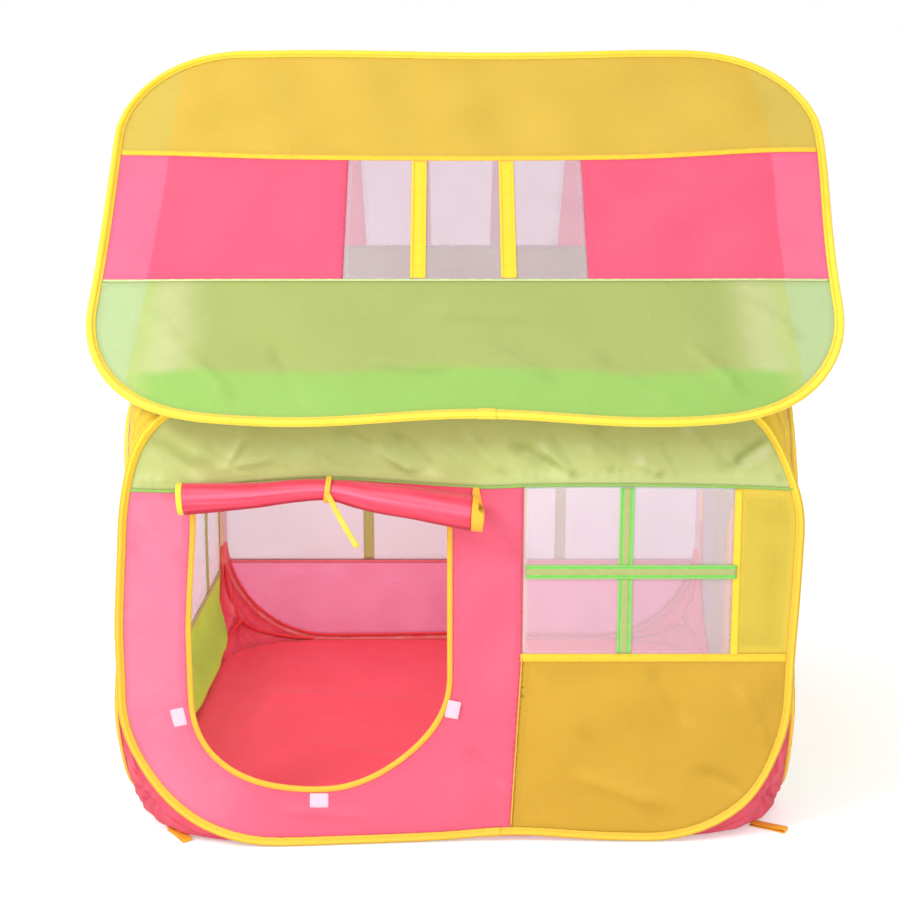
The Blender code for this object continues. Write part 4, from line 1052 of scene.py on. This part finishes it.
edging = rims("door_edging", "front")
ring = divided(edging[0], 0.005)
section = [(-0.0068, 0.0013), (-0.0108, 0.0017), (-0.0146, 0.0013), (-0.0156, 0.0), (-0.0146, -0.0013),
           (-0.0110, -0.0017), (-0.0068, -0.0013), (-0.0068, -0.0005), (-0.0138, -0.0005),
           (-0.0138, 0.0005), (-0.0068, 0.0005)]
shape = drawn("front", ring, section, closed=True, rumple=gathered(0.0004, 0.02, 41))
settled(built("door_binding", shape, "orange"), "front_wall", "door_edging")
for out in (0.0022, -0.0022):
    stitch_row("front", ring, -0.0086, out, closed=True)

HEADER_LINE = [(-0.5215, HEADER_SEAM), (0.5215, HEADER_SEAM)]
SILL_LINE = [(0.0880, SILL - 0.003), (0.5300, SILL - 0.003)]
WINDOW_HEAD = 0.592
TAPES = [
    # name, plane, line, width, low, high, kind
    ("header_seam_tape", "front", HEADER_LINE, 0.0042, 0.0005, 0.0010, "seam_green"),
    ("header_seam_back", "front", HEADER_LINE, 0.0100, -0.0005, -0.0011, "green_tape"),
    ("window_right_tape", "front", [(WINDOW_RIGHT + 0.0070, SILL), (WINDOW_RIGHT + 0.0042, WINDOW_HEAD)],
     0.0112, 0.0005, 0.0012, "yellow_tape"),
    ("window_sill_tape", "front", SILL_LINE, 0.0130, 0.0005, 0.0012, "sill_tape"),
    ("door_window_seam", "front", [(0.0745, 0.020), (0.0905, SILL), (0.0905, WINDOW_HEAD)],
     0.0100, -0.0024, -0.0030, "orange"),
    ("door_lower_seam", "front", [(0.0745, 0.018), (0.0905, SILL - 0.003)], 0.0026, 0.0010, 0.0018,
     "lower_edge"),
    ("left_sill_tape", "left", [(-0.462, 0.176), (0.462, 0.176)], 0.0110, 0.0005, 0.0012, "olive_tape"),
    ("left_sill_back", "left", [(-0.462, 0.176), (0.462, 0.176)], 0.0110, -0.0005, -0.0012, "olive_tape"),
    ("rear_sill_tape", "rear", [(-0.520, 0.190), (0.520, 0.190)], 0.0110, 0.0005, 0.0012, "red_tape"),
    ("rear_sill_back", "rear", [(-0.520, 0.190), (0.520, 0.190)], 0.0048, -0.0005, -0.0012, "pink_tape"),
]
for plane in ("front_roof", "rear_roof"):
    TAPES += [
        (plane + "_band_tape", plane, [(-0.580, BAND_SEAM), (0.580, BAND_SEAM)], 0.0100, 0.0005, 0.0012,
         "sill_tape"),
        (plane + "_eave_tape", plane, [(-0.580, EAVE_SEAM), (0.580, EAVE_SEAM)], 0.0036, 0.0005, 0.0010,
         "eave_tape"),
    ]
for index, (name, plane, line, width, low, high, kind) in enumerate(TAPES):
    strip(name, plane, line, width, low, high, kind, seed=61 + index)
    way = 1 if high > low else -1
    thread = "green_stitch" if M[kind]["slot"] == "green_cloth" else "stitch"
    # A wide tape is sewn along both its edges, a narrow one along its middle
    for aside in (0.5 * width - 0.0016, 0.0016 - 0.5 * width) if width > 0.006 else (0.0,):
        stitch_row(plane, divided(line, 0.02, False), aside, high + way * 0.0006, kind=thread)


def bar(name, plane, line, width, base, kinds, seed, node=None):
    """A window bar: a doubled tape with folded edges and a middle of another colour."""
    way = 1 if base > 0 else -1
    wide, edge, middle = kinds
    strip(name, plane, line, width, base, base + way * 0.0006, wide, crown=0.0002, node=node, seed=seed)
    if middle:
        strip(name + "_middle", plane, line, width * 0.42, base + way * 0.0009, base + way * 0.0014, middle,
              crown=0.0002, seed=seed + 1)
    path = np.asarray(line, float)
    along = (path[-1] - path[0]) / np.linalg.norm(path[-1] - path[0])
    right = np.array([along[1], -along[0]])
    for sign, side in ((-1, "left"), (1, "right")):
        strip(f"{name}_fold_{side}", plane, path + right * sign * width * 0.42, width * 0.15,
              base + way * 0.0009, base + way * 0.0015, edge, seed=seed + 3 + sign)
        stitch_row(plane, divided(path, 0.02, False), sign * width * 0.30, base + way * 0.0012,
                   kind="green_stitch" if edge.startswith("green") else "stitch")


GREEN, OLIVE, YELLOW = (("green_tape", "green_edge", "olive_tape"), ("olive_tape", "olive_tape", None),
                        ("yellow_tape", "yellow_tape", None))
bar("front_bar_upright_tape", "front", [(0.2532, SILL + 0.004), (0.2532, 0.5925)], 0.0225, 0.0006, GREEN,
    91, "front_bar_upright")
bar("front_bar_cross_tape", "front", [(0.0955, 0.4566), (0.4290, 0.4566)], 0.0225, 0.0028, GREEN, 97,
    "front_bar_cross")
for name, at in (("left", 0.20705), ("right", -0.22205)):
    bar(f"rear_bar_{name}_tape", "rear", [(at, 0.196), (at, 0.752)], 0.0235, -0.0006, OLIVE, 103,
        "rear_bar_" + name)
for name, at in (("front", 0.280), ("back", -0.280)):
    bar("left_bar_" + name, "left", [(at, 0.182), (at, 0.752)], 0.0240, -0.0006, OLIVE, 109)
for plane, sign in (("front_roof", 1), ("rear_roof", -1)):
    for name, at in (("left", sign * -0.0765), ("right", sign * 0.0700)):
        bar(f"{plane}_bar_{name}_tape", plane, [(at, EAVE_SEAM + 0.004), (at, BAND_SEAM - 0.006)], 0.0250,
            0.0006, YELLOW, 115, f"{plane}_bar_{name}")


# Corner cloths and floor

# How far the corner cloths reach round the hoops' corners, and where the lower ones are tied, in degrees
TURN_START, TURN_END = 14.8, 84.0
KNOT = 50.0


def corner_point(degrees, share, upper):
    """A point of the front left corner cloth, by its turn round the hoops and its share across it."""
    turn = math.radians(degrees)
    back = 0.0052 + CLOTH / 2
    run_in, drop = CORNER * (1 - math.cos(turn)), CORNER * (1 - math.sin(turn))
    height = HOOP_HIGH - drop if upper else HOOP_LOW + drop
    left, front = -HALF_WIDTH + back, -HALF_DEPTH + back
    start = np.array((-HALF_WIDTH + run_in, front, height))
    bend = np.array((left, front, height))
    end = np.array((left, -SIDE_HALF_DEPTH + run_in, height))
    first, last = start + (bend - start) * share, bend + (end - bend) * share
    sag = 0.0 if upper else 0.021 * math.exp(-((degrees - KNOT) / 13.0) ** 2 - ((share - 0.5) / 0.20) ** 2)
    return first + (last - first) * share + np.array((0.75, 0.66, 0.0)) * sag


def corner_cloth(name, mirror, upper, kind, seed):
    """A doubly curved corner cloth between two hoops, with slack folds that run out of its corners."""
    rows = columns = 34
    turns = np.linspace(TURN_START, TURN_END, rows + 1)
    shares = np.linspace(0, 1, columns + 1)
    grid = np.array([[corner_point(turn, share, upper) for share in shares] for turn in turns])
    grid = grid * np.array((mirror[0], mirror[1], 1.0))
    down, across = np.gradient(grid, axis=0), np.gradient(grid, axis=1)
    normal = np.cross(down, across)
    normal /= np.linalg.norm(normal, axis=2)[:, :, None]
    middle = grid.mean((0, 1))
    centre = (rows // 2, columns // 2)
    if (grid[centre] - np.array((0, 0, middle[2]))) @ normal[centre] < 0:
        normal = -normal
    row_run = run_along(grid[:, columns // 2])
    width = np.linalg.norm(np.diff(grid, axis=1), axis=2).sum(1)
    v = np.broadcast_to(row_run[:, None], (rows + 1, columns + 1))
    u = (shares[None, :] - 0.5) * width[:, None]
    edge = np.minimum(np.minimum(shares, 1 - shares)[None, :] * width[:, None],
                      np.minimum(v, row_run[-1] - v))
    relief = 0.0016 * ripple(u, v, 0.06, seed)
    for sign in (-1, 1):
        aside = u + sign * (0.5 * width[:, None] - 0.020 - 0.08 * np.sqrt(np.maximum(v, 0)))
        relief = relief - 0.0028 * np.exp(-(aside / 0.006) ** 2)
    if not upper:
        knot = float(np.interp(KNOT, turns, row_run))
        reach, round_it = np.hypot(u, v - knot), np.arctan2(v - knot, u)
        spokes = np.sin(11 * round_it + 2.0 * np.sin(3 * round_it))
        relief = relief + 0.0016 * spokes * np.exp(-(reach / 0.06) ** 2)
    relief = relief * ease(edge, 0.0, 0.012)
    # How far its folds turn to the light, for their painted highlight and shade
    lit = 0.6 * np.gradient(relief, axis=1) / np.maximum(np.gradient(u, axis=1), 1e-4)
    points = (grid + normal * relief[:, :, None]).reshape(-1, 3)
    normal = normal.reshape(-1, 3)
    made = sheet_piece(name, points + normal * CLOTH / 2, points - normal * CLOTH / 2,
                       grid_faces(rows + 1, columns + 1), M[kind], np.stack([u.ravel(), v.ravel()], 1),
                       edge=edge.ravel(), run=v.ravel(), lit=lit.ravel())
    outward(made)
    area = float((width[:-1] + width[1:]) @ np.diff(row_run) / 2)
    return made, (float(width.max()), float(row_run[-1])), area


def ride_corner(made, mirror, bodies, height):
    """Lets a corner piece with no second wall ride the rear one; any other stays where it is made, its
    placement set into its mesh.
    """
    if bodies[1] is None:
        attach(made, "rear_wall")
        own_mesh(made)
        return
    ends = [np.array((-mirror[0] * x, -mirror[1] * y, height))
            for x, y in ((0.514, 0.4835), (0.5317, 0.4525))]
    if bodies[0] == "left_wall":
        ends.reverse()
    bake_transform(made)


CORNERS = {
    "front_left": ((1, 1), ("front_wall", "left_wall")),
    "front_right": ((-1, 1), ("front_wall", "right_wall")),
    "rear_left": ((1, -1), ("left_wall", "rear_wall")),
    "rear_right": ((-1, -1), ("rear_wall", None)),
}
for index, (corner, (mirror, bodies)) in enumerate(CORNERS.items()):
    for upper, kind in ((True, "corner"), (False, "red_corner")):
        name = ("top_" if upper else "foot_") + "corner_" + corner
        made, flat, area = corner_cloth(name, mirror, upper, kind, 131 + 2 * index + upper)
        if upper:
            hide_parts("top_gusset_" + corner)
        ride_corner(made, mirror, bodies, 0.7)


def floor_sheet():
    """The floor: it lies on the ground, rises to the hoops at its rim and is rumpled a little."""
    outline = []
    for mirror in ((1, 1), (-1, 1), (-1, -1), (1, -1)):
        row = [corner_point(TURN_END, share, False)[:2] * np.array(mirror)
               for share in np.linspace(0, 1, 13)]
        outline += row[::-1] if mirror[0] == mirror[1] else row
    outline = np.array(outline)
    points, faces, edge, run, area = filled([outline], 0.0125)
    u, v = points[:, 0], points[:, 1]
    height = 0.0012 + 0.0062 * (1 - ease(edge, 0.0, 0.06))
    folds = [((-0.45, -0.30), (-0.20, -0.36), 0.014, 0.006), ((-0.30, -0.10), (-0.05, -0.22), 0.016, 0.006),
             ((0.05, -0.35), (0.30, -0.20), 0.016, 0.005), ((-0.40, 0.15), (-0.10, 0.10), 0.018, 0.006),
             ((-0.05, 0.05), (0.20, 0.18), 0.016, 0.006), ((-0.42, -0.05), (-0.38, 0.25), 0.014, 0.005)]
    rumples = 0.0022 * (1 + ripple(u, v, 0.15, 151)) + creases(u, v, folds)
    height = height + ease(edge, 0.02, 0.08) * rumples
    height = np.maximum(height, 0.0010)
    top = np.stack([u, v, height + CLOTH / 2], 1)
    made = outward(sheet_piece("floor_sheet", top, top - np.array((0, 0, CLOTH)), faces, M["red"], points,
                               edge=edge, run=run))
    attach(made, "front_wall")
    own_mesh(made)
    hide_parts("floor_cloth")


floor_sheet()


def piping(name, points, radius, kind, body, knot=0.0):
    """A thin round seam welt along points of the tent's frame, thicker where it is knotted in its middle."""
    way = units(np.gradient(points, axis=0))
    side = units(np.cross(way, (0.0, 0.0, 1.0)))
    up = np.cross(side, way)
    ring = round_section(radius)
    count = len(points)
    taper = np.sqrt(np.clip(np.minimum(np.arange(count), np.arange(count)[::-1]) / 3 + 0.2, 0, 1))[:, None]
    taper = taper * (1 + knot * np.exp(-((np.linspace(0, 1, count) - 0.5) / 0.06) ** 2))[:, None]
    verts = np.concatenate([points + (side * a + up * b) * taper for a, b in ring])
    run = run_along(points)
    uv = np.concatenate([np.stack([run, np.full(count, k * radius * 0.6)], 1) for k in range(len(ring))])
    made = built(name, (verts, tube_faces(len(ring), count), uv), kind)
    if body:
        settled(made, body)
    return made


# Red seam welts where the floor and the lower corner cloths meet the walls, inside
for plane in ("front", "rear", "left", "right"):
    half = half_width(plane)
    turns = np.linspace(0.22, math.pi / 2, 40)
    reach = CORNER - 0.0120
    arc = np.stack([half - CORNER + reach * np.cos(turns), HOOP_LOW + CORNER - reach * np.sin(turns)], 1)
    foot = np.stack([np.linspace(arc[-1, 0], -arc[-1, 0], 60)[1:-1], np.full(58, arc[-1, 1])], 1)
    line = np.concatenate([arc, foot, arc[::-1] * (-1, 1)])
    welt = place(plane, line, -0.0052 + 0.0006 * np.sin(np.arange(len(line)) * 0.7))
    piping(f"{plane}_foot_welt", welt, 0.0024, "red_tape", BODY[plane])
for corner, (mirror, bodies) in CORNERS.items():
    flip = np.array((*mirror, 1.0))
    line = np.array([corner_point(t, 0.5, False) for t in np.linspace(TURN_START, KNOT, 40)]) * flip
    line = line + np.array((mirror[0], mirror[1], 0.4)) * 0.0030
    sides = np.linspace(0.02, 0.98, 61)
    bends = TURN_END - (TURN_END - KNOT) * (1 - np.abs(2 * sides - 1) ** 1.3)
    foot = np.array([corner_point(t, s, False) for t, s in zip(bends, sides)]) * flip
    foot = foot + np.array((mirror[0], mirror[1], 0.6)) * 0.0034
    for label, path, knot in (("rise", line, 0.0), ("foot", foot, 1.0)):
        made = piping(f"corner_welt_{corner}_{label}", path, 0.0034, "red_tape", None, knot)
        ride_corner(made, mirror, bodies, 0.1)


# Door roll and tie

SEAM_OUT = -HALF_DEPTH
ROLL_GAP = 0.0035
ROLL_MIDDLE, ROLL_LENGTH = -0.2145, 0.483
ROLL_TURNS, ROLL_CORE = 6, 0.0050
# The roll's size and height at places along it: thin where it is tied, thick and low at its right
ROLL_PLACES = (-0.4395, -0.335, -0.262, -0.2145, -0.150, -0.090, 0.0, 0.027)
ROLL_RADII = (0.0250, 0.0208, 0.0176, 0.0168, 0.0236, 0.0268, 0.0290, 0.0285)
ROLL_HEIGHTS = (0.5800, 0.5865, 0.5937, 0.5951, 0.5853, 0.5767, 0.5624, 0.5590)


def roll_middle(x):
    """The roll's middle and size at a place along it: outwards from the wall, height, radius."""
    radius = float(through(x, ROLL_PLACES, ROLL_RADII))
    return ROLL_GAP + radius, float(through(x, ROLL_PLACES, ROLL_HEIGHTS)), radius


def roll_row(x, grow=0.0):
    """The line of the rolled cloth at a place along it: down behind the roll, then round and inwards."""
    out, height, size = roll_middle(x)
    share = np.linspace(0, 1, 40 * ROLL_TURNS + 1)
    turn = 2 * math.pi * ROLL_TURNS * share
    uneven = (1 + 0.018 * (1 - share) * np.sin(3 * turn + 9 * x)
              + 0.030 * math.sin(31 * x + 1) * np.cos(turn + 14 * x))
    radius = (size * (1 - share) + ROLL_CORE * share) * uneven + grow * (1 - share)
    back = np.array([(ROLL_GAP - grow, HEADER_SEAM + float(seam_wave(x)) - 0.0004)])
    return np.concatenate([back, np.stack([out + radius * np.cos(math.pi + turn),
                                           height + radius * np.sin(math.pi + turn)], 1)])


def end_shape(x, high):
    """Where a place along the roll lies: its right end is cut aslant, with a narrow top."""
    seam = ROLL_MIDDLE + ROLL_LENGTH / 2 - 0.0202
    aslant = 0.0042 * np.clip(high, -1, 1) * ease(x, seam - 0.05, seam)
    narrow = 1 - 0.52 * ease(high, 0.22, 0.34)
    return x + aslant + np.where(x > seam, (x - seam) * (narrow - 1), 0)


def rolled(name, stations, thick, kind, wrinkle=0.0, grow=0.0):
    """The rolled flap between two places along it, or the binding of one of its ends."""
    rows, sides, lights = [], [], []
    for x in stations:
        row = roll_row(x, grow)
        side = -rightwards(row, False)
        run = run_along(row)
        if wrinkle:
            outer = np.clip(1 - run / 0.16, 0, 1)
            lift = (1 + ripple(np.full(len(run), x) * 0.22, run, 0.026, 161)) / 2
            row = row + side * (-wrinkle * outer * lift)[:, None]
        out, height, size = roll_middle(x)
        high, far = (row[:, 1] - height) / size, (row[:, 0] - out) / size
        # Painted light on the roll: highlight streaks along it, a painted highlight over its top and painted
        # shade under it
        painted_streaks = (np.sin(17 * high + 5.0 * x) + 0.7 * np.sin(31 * high - 11 * x + 1)
                   + 0.5 * np.sin(9 * high + 40 * x))
        lights.append(0.30 * painted_streaks * (0.5 + 0.5 * far) + 0.9 * np.exp(-((high - 0.25) / 0.22) ** 2)
                      - 1.5 * ease(-high, 0.45, 0.95))
        for sign, into in ((0.5, rows), (-0.5, sides)):
            flat = row + side * sign * thick
            seen = end_shape(x, (flat[:, 1] - height) / size)
            into.append(np.stack([seen, SEAM_OUT - flat[:, 0], flat[:, 1]], 1))
    runs = np.tile(run, len(stations))
    xs = np.repeat(stations, len(run))
    edge = np.minimum(xs - stations[0], stations[-1] - xs)
    made = sheet_piece(name, np.concatenate(rows), np.concatenate(sides),
                       grid_faces(len(stations), len(run)), M[kind], np.stack([xs, runs], 1),
                       edge=edge, run=runs, lit=np.concatenate(lights))
    return outward(made), float(run[-1])


START, END = ROLL_MIDDLE - ROLL_LENGTH / 2 + 0.0165, ROLL_MIDDLE + ROLL_LENGTH / 2
flap, length = rolled("door_flap_roll", np.linspace(START + 0.0085, END - 0.0203, 90), CLOTH, "roll",
                      wrinkle=0.0026)
settled(flap, "door_roll", "door_roll_cloth")
for name, stations, kind, grow in (("left", np.linspace(START, START + 0.0082, 5), "roof_binding", 0.0006),
                                   ("right", np.linspace(END - 0.0200, END, 8), "orange", 0.0012)):
    end, _ = rolled("door_flap_binding_" + name, stations, 0.0013, kind, grow=grow)
    settled(end, "door_roll")


def ribbon(name, line, across, width, thick, kind, body):
    """A narrow ribbon along points of the tent's frame, as wide as given across them."""
    line = np.asarray(line, float)
    across = np.asarray(across, float) / np.linalg.norm(across)
    up = np.cross(units(np.gradient(line, axis=0)), across)
    sides = (0.5, 0.3, 0.0, -0.3, -0.5)
    section = [(s, 0.5 - 0.25 * abs(s)) for s in sides] + [(s, -0.5) for s in reversed(sides)]
    count = len(line)
    verts = np.concatenate([line + across * s * width + up * h * thick for s, h in section])
    uv = np.concatenate([np.stack([run_along(line), np.full(count, s * width)], 1) for s, _ in section])
    return settled(built(name, (verts, tube_faces(len(section), count), uv), kind), body)


out, up, ring = roll_middle(ROLL_MIDDLE)
# The tie lies over the roll's outermost turn
ring += 0.0040
up -= HEADER_SEAM
angles = np.radians(np.linspace(95, -180, 56))
loop = [(ROLL_MIDDLE + 0.0026 * math.sin(a) + 0.0004, SEAM_OUT - out - ring * math.cos(a),
         HEADER_SEAM + up + ring * math.sin(a)) for a in angles]
loop.append((ROLL_MIDDLE, loop[-1][1], HEADER_SEAM + 0.0080))
loop = [loop[0]] + [tuple(np.array(a) + (np.array(b) - np.array(a)) * s) for a, b in zip(loop, loop[1:])
                    for s in (0.5, 1.0)]
tie = ribbon("tie_loop", loop, (1, 0, 0), 0.0085, 0.0010, "tie", "door_roll")
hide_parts("roll_tie_loop")

lean = math.radians(27.5)
share = np.linspace(0, 1, 33)
front = out + ring + 0.0004 + 0.0003 + 0.0006
fall = 0.00475 * math.tan(lean) + 0.0003 + 0.096 * share
tail = np.stack([ROLL_MIDDLE + math.sin(lean) * fall,
                 SEAM_OUT - front - 0.006 * np.sin(math.pi * share) ** 2,
                 HEADER_SEAM + up - math.cos(lean) * fall], 1)
tail_piece = ribbon("tie_tail_ribbon", tail, (math.cos(lean), 0, math.sin(lean)), 0.0085, 0.0010, "tie",
                    "tie_tail")
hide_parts("roll_tie_tail")


# Hook patches and corner tabs


def hook_patch(name, x, z, base, tilt, node_name):
    """A stitched patch of hook tape with rounded corners and a raised pile."""
    lines = [rounded(-0.015, 0.015, -0.011, 0.011, 0.0022, steps=5)]
    points, faces, edge, run, area = filled(lines, 0.0012)
    turn = np.array(((math.cos(tilt), math.sin(tilt)), (-math.sin(tilt), math.cos(tilt))))
    flat = points @ turn + np.array((x, z))
    pile = 0.0002 * ripple(points[:, 0], points[:, 1], 0.0035, 171)
    valley = -0.0004 * np.exp(-((edge - 0.0026) / 0.0005) ** 2)
    high = base + 0.0009 + (0.0006 + pile) * ease(edge, 0.0, 0.0012) + valley
    made = outward(sheet_piece(name, place("front", flat, high), place("front", flat, base), faces,
                               M["hook"], points, edge=edge, run=run))
    settled(made, "front_wall", node_name)
    inner = rounded(-0.0124, 0.0124, -0.0084, 0.0084, 0.0015, steps=4) @ turn + np.array((x, z))
    stitch_row("front", inner, 0.0, base + 0.0013, closed=True)


hook_patch("hook_tape_left", -0.4445, 0.2117, 0.0006, math.radians(102), "hook_patch_left")
hook_patch("hook_tape_foot", -0.2376, 0.0735, 0.0006, 0.0, "hook_patch_foot")
hook_patch("hook_tape_right", -0.0275, 0.2255, 0.0024, math.radians(78), "hook_patch_right")


TAB_LENGTH = 0.056


def anchor_tab(name, mirror, body, heading):
    """A folded webbing loop under a floor corner."""
    foot = corner_point(TURN_END, 0.5, False) * np.array((*mirror, 1.0))
    along = np.array((math.cos(heading), math.sin(heading), 0.0))
    half = 0.0020 + 0.0006
    far = TAB_LENGTH - half
    steps = [(s, half) for s in np.linspace(0, far, 14)]
    steps += [(far + half * math.sin(a), half * math.cos(a)) for a in np.linspace(0.2, math.pi - 0.2, 9)]
    steps += [(s, -half) for s in np.linspace(far, 0, 14)]
    base = np.array((foot[0], foot[1], half + 0.0006 + 0.0006)) + along * 0.0006
    line = [base + along * s + np.array((0, 0, h * (1 - 0.25 * math.sin(s * 70)))) for s, h in steps]
    across = (-along[1], along[0], 0.0)
    made = ribbon(name + "_webbing", line, across, 0.0155, 0.0012, "webbing", body)
    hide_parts(name)


for name, body, degrees in (("front_left", "front_wall", -52), ("front_right", "front_wall", -30),
                            ("rear_left", "rear_wall", 165), ("rear_right", "rear_wall", 50)):
    anchor_tab("anchor_tab_" + name, CORNERS[name][0], body, math.radians(degrees))


# Stitches

PITCH_ALONG = 0.0046
STITCH_SIZE = (0.0018, 0.00042, 0.00042)


def stitch_group():
    """Grains of thread along every line, laid end to end with a small gap."""
    tree = bpy.data.node_groups.new("stitches", "GeometryNodeTree")
    for label, kind in (("Geometry", "Geometry"), ("Pitch", "Float"), ("Thread", "Material")):
        tree.interface.new_socket(label, in_out="INPUT", socket_type="NodeSocket" + kind)
    tree.interface.new_socket("Geometry", in_out="OUTPUT", socket_type="NodeSocketGeometry")
    given = tree.nodes.new("NodeGroupInput").outputs
    lines = node(tree, "GeometryNodeMeshToCurve", {"Mesh": given["Geometry"]})
    spaced = node(tree, "GeometryNodeResampleCurve", {"Curve": lines.outputs[0], "Length": given["Pitch"]},
                  mode="LENGTH")
    along = node(tree, "GeometryNodeInputTangent")
    turned = node(tree, "FunctionNodeAlignRotationToVector", {"Vector": along.outputs[0]}, axis="X")
    grain = node(tree, "GeometryNodeMeshIcoSphere", {"Radius": 1.0, "Subdivisions": 1})
    each = node(tree, "GeometryNodeInstanceOnPoints",
                {"Points": spaced.outputs[0], "Instance": grain.outputs[0],
                                                       "Rotation": turned.outputs[0], "Scale": STITCH_SIZE})
    real = node(tree, "GeometryNodeRealizeInstances", {"Geometry": each.outputs[0]})
    soft = node(tree, "GeometryNodeSetShadeSmooth", {"Geometry": real.outputs[0]})
    coated = node(tree, "GeometryNodeSetMaterial",
                  {"Geometry": soft.outputs[0], "Material": given["Thread"]})
    tree.links.new(coated.outputs[0], tree.nodes.new("NodeGroupOutput").inputs[0])
    return tree


GROUP = stitch_group()
SOCKETS = {s.name: s.identifier for s in GROUP.interface.items_tree if s.in_out == "INPUT"}
for (body, kind), rows in STITCHES.items():
    verts, links, count = [], [], 0
    for row, closed in rows:
        verts.append(row)
        links += [(count + i, count + (i + 1) % len(row))
                  for i in range(len(row) if closed else len(row) - 1)]
        count += len(row)
    mesh = bpy.data.meshes.new(body + "_" + kind)
    verts = settled_shape(np.concatenate(verts), body.endswith("roof"), body == "front_wall")
    mesh.from_pydata(verts.tolist(), links, [])
    made = added(f"{body}_{kind}es", mesh)
    grown = made.modifiers.new("stitches", "NODES")
    grown.node_group = GROUP
    grown[SOCKETS["Pitch"]] = PITCH_ALONG
    grown[SOCKETS["Thread"]] = M[kind]
    result = bpy.data.meshes.new_from_object(made.evaluated_get(bpy.context.evaluated_depsgraph_get()))
    made.modifiers.remove(grown)
    made.data = result
    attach(made, body)


# Stage

LAMPS = (
    # name, place, aim, size, energy
    ("upper_left_lamp", (-2.6, -2.6, 3.2), (0, 0, 0.5), (1.1, 1.1), 95.0),
    ("front_lamp", (0.4, -4.4, 0.9), (0, 0, 0.6), (3.4, 2.0), 46.0),
    ("inner_lamp", (-0.10, 0.0, 0.74), (-0.10, 0.0, 0.0), (0.8, 0.7), 4.5),
)
CAMERA_PLACE = (-0.0248, -2.7931, 1.1402)
CAMERA_PITCH = math.radians(78.06)
LENS, SENSOR = 60.47, 36.0


def stage():
    """A plain white floor, soft light from the upper left, and the photo's camera."""
    scene = bpy.context.scene
    scene.view_settings.view_transform = "Standard"
    mesh = bpy.data.meshes.new("floor")
    mesh.from_pydata([(-12, -12, 0), (12, -12, 0), (12, 12, 0), (-12, 12, 0)], [], [(0, 1, 2, 3)])
    ground = added("ground", mesh)
    pale = bpy.data.materials.new("ground_white")
    pale.use_nodes = True
    tree = pale.node_tree
    shader = tree.nodes["Principled BSDF"]
    shader.inputs["Base Color"].default_value = (0.88, 0.88, 0.88, 1)
    shader.inputs["Roughness"].default_value = 0.9
    shader.inputs["Specular IOR Level"].default_value = 0.1
    glow = node(tree, "ShaderNodeEmission", {"Color": (1, 1, 1, 1), "Strength": 0.36})
    both = node(tree, "ShaderNodeAddShader", {0: shader.outputs[0], 1: glow.outputs[0]})
    seen = node(tree, "ShaderNodeMixShader", {0: node(tree, "ShaderNodeLightPath").outputs["Is Camera Ray"],
                                              1: shader.outputs[0], 2: both.outputs[0]})
    tree.links.new(seen.outputs[0], tree.nodes["Material Output"].inputs["Surface"])
    mesh.materials.append(pale)
    world = scene.world or bpy.data.worlds.new("white")
    scene.world = world
    world.use_nodes = True
    tree = world.node_tree
    tree.nodes.clear()
    rays = node(tree, "ShaderNodeLightPath")
    seen = node(tree, "ShaderNodeBackground", {"Color": (1, 1, 1, 1), "Strength": 1.0})
    light = node(tree, "ShaderNodeBackground", {"Color": (1.0, 1.0, 1.0, 1), "Strength": 0.82})
    mixed = node(tree, "ShaderNodeMixShader", {0: rays.outputs["Is Camera Ray"], 1: light.outputs[0],
                                               2: seen.outputs[0]})
    node(tree, "ShaderNodeOutputWorld", {"Surface": mixed.outputs[0]})
    for name, place_at, aim, size, energy in LAMPS:
        lamp = bpy.data.lights.new(name, "AREA")
        lamp.shape = "RECTANGLE"
        lamp.size, lamp.size_y, lamp.energy = *size, energy
        made = added(name, lamp)
        made.location = place_at
        made.rotation_euler = (Vector(aim) - made.location).to_track_quat("-Z", "Y").to_euler()
        made.visible_camera = False
        made.visible_glossy = name != "inner_lamp"
    lens = bpy.data.cameras.new("camera")
    lens.lens, lens.sensor_width = LENS, SENSOR
    scene.camera = added("camera", lens)
    scene.camera.location = CAMERA_PLACE
    scene.camera.rotation_euler = (CAMERA_PITCH, 0, 0)


stage()
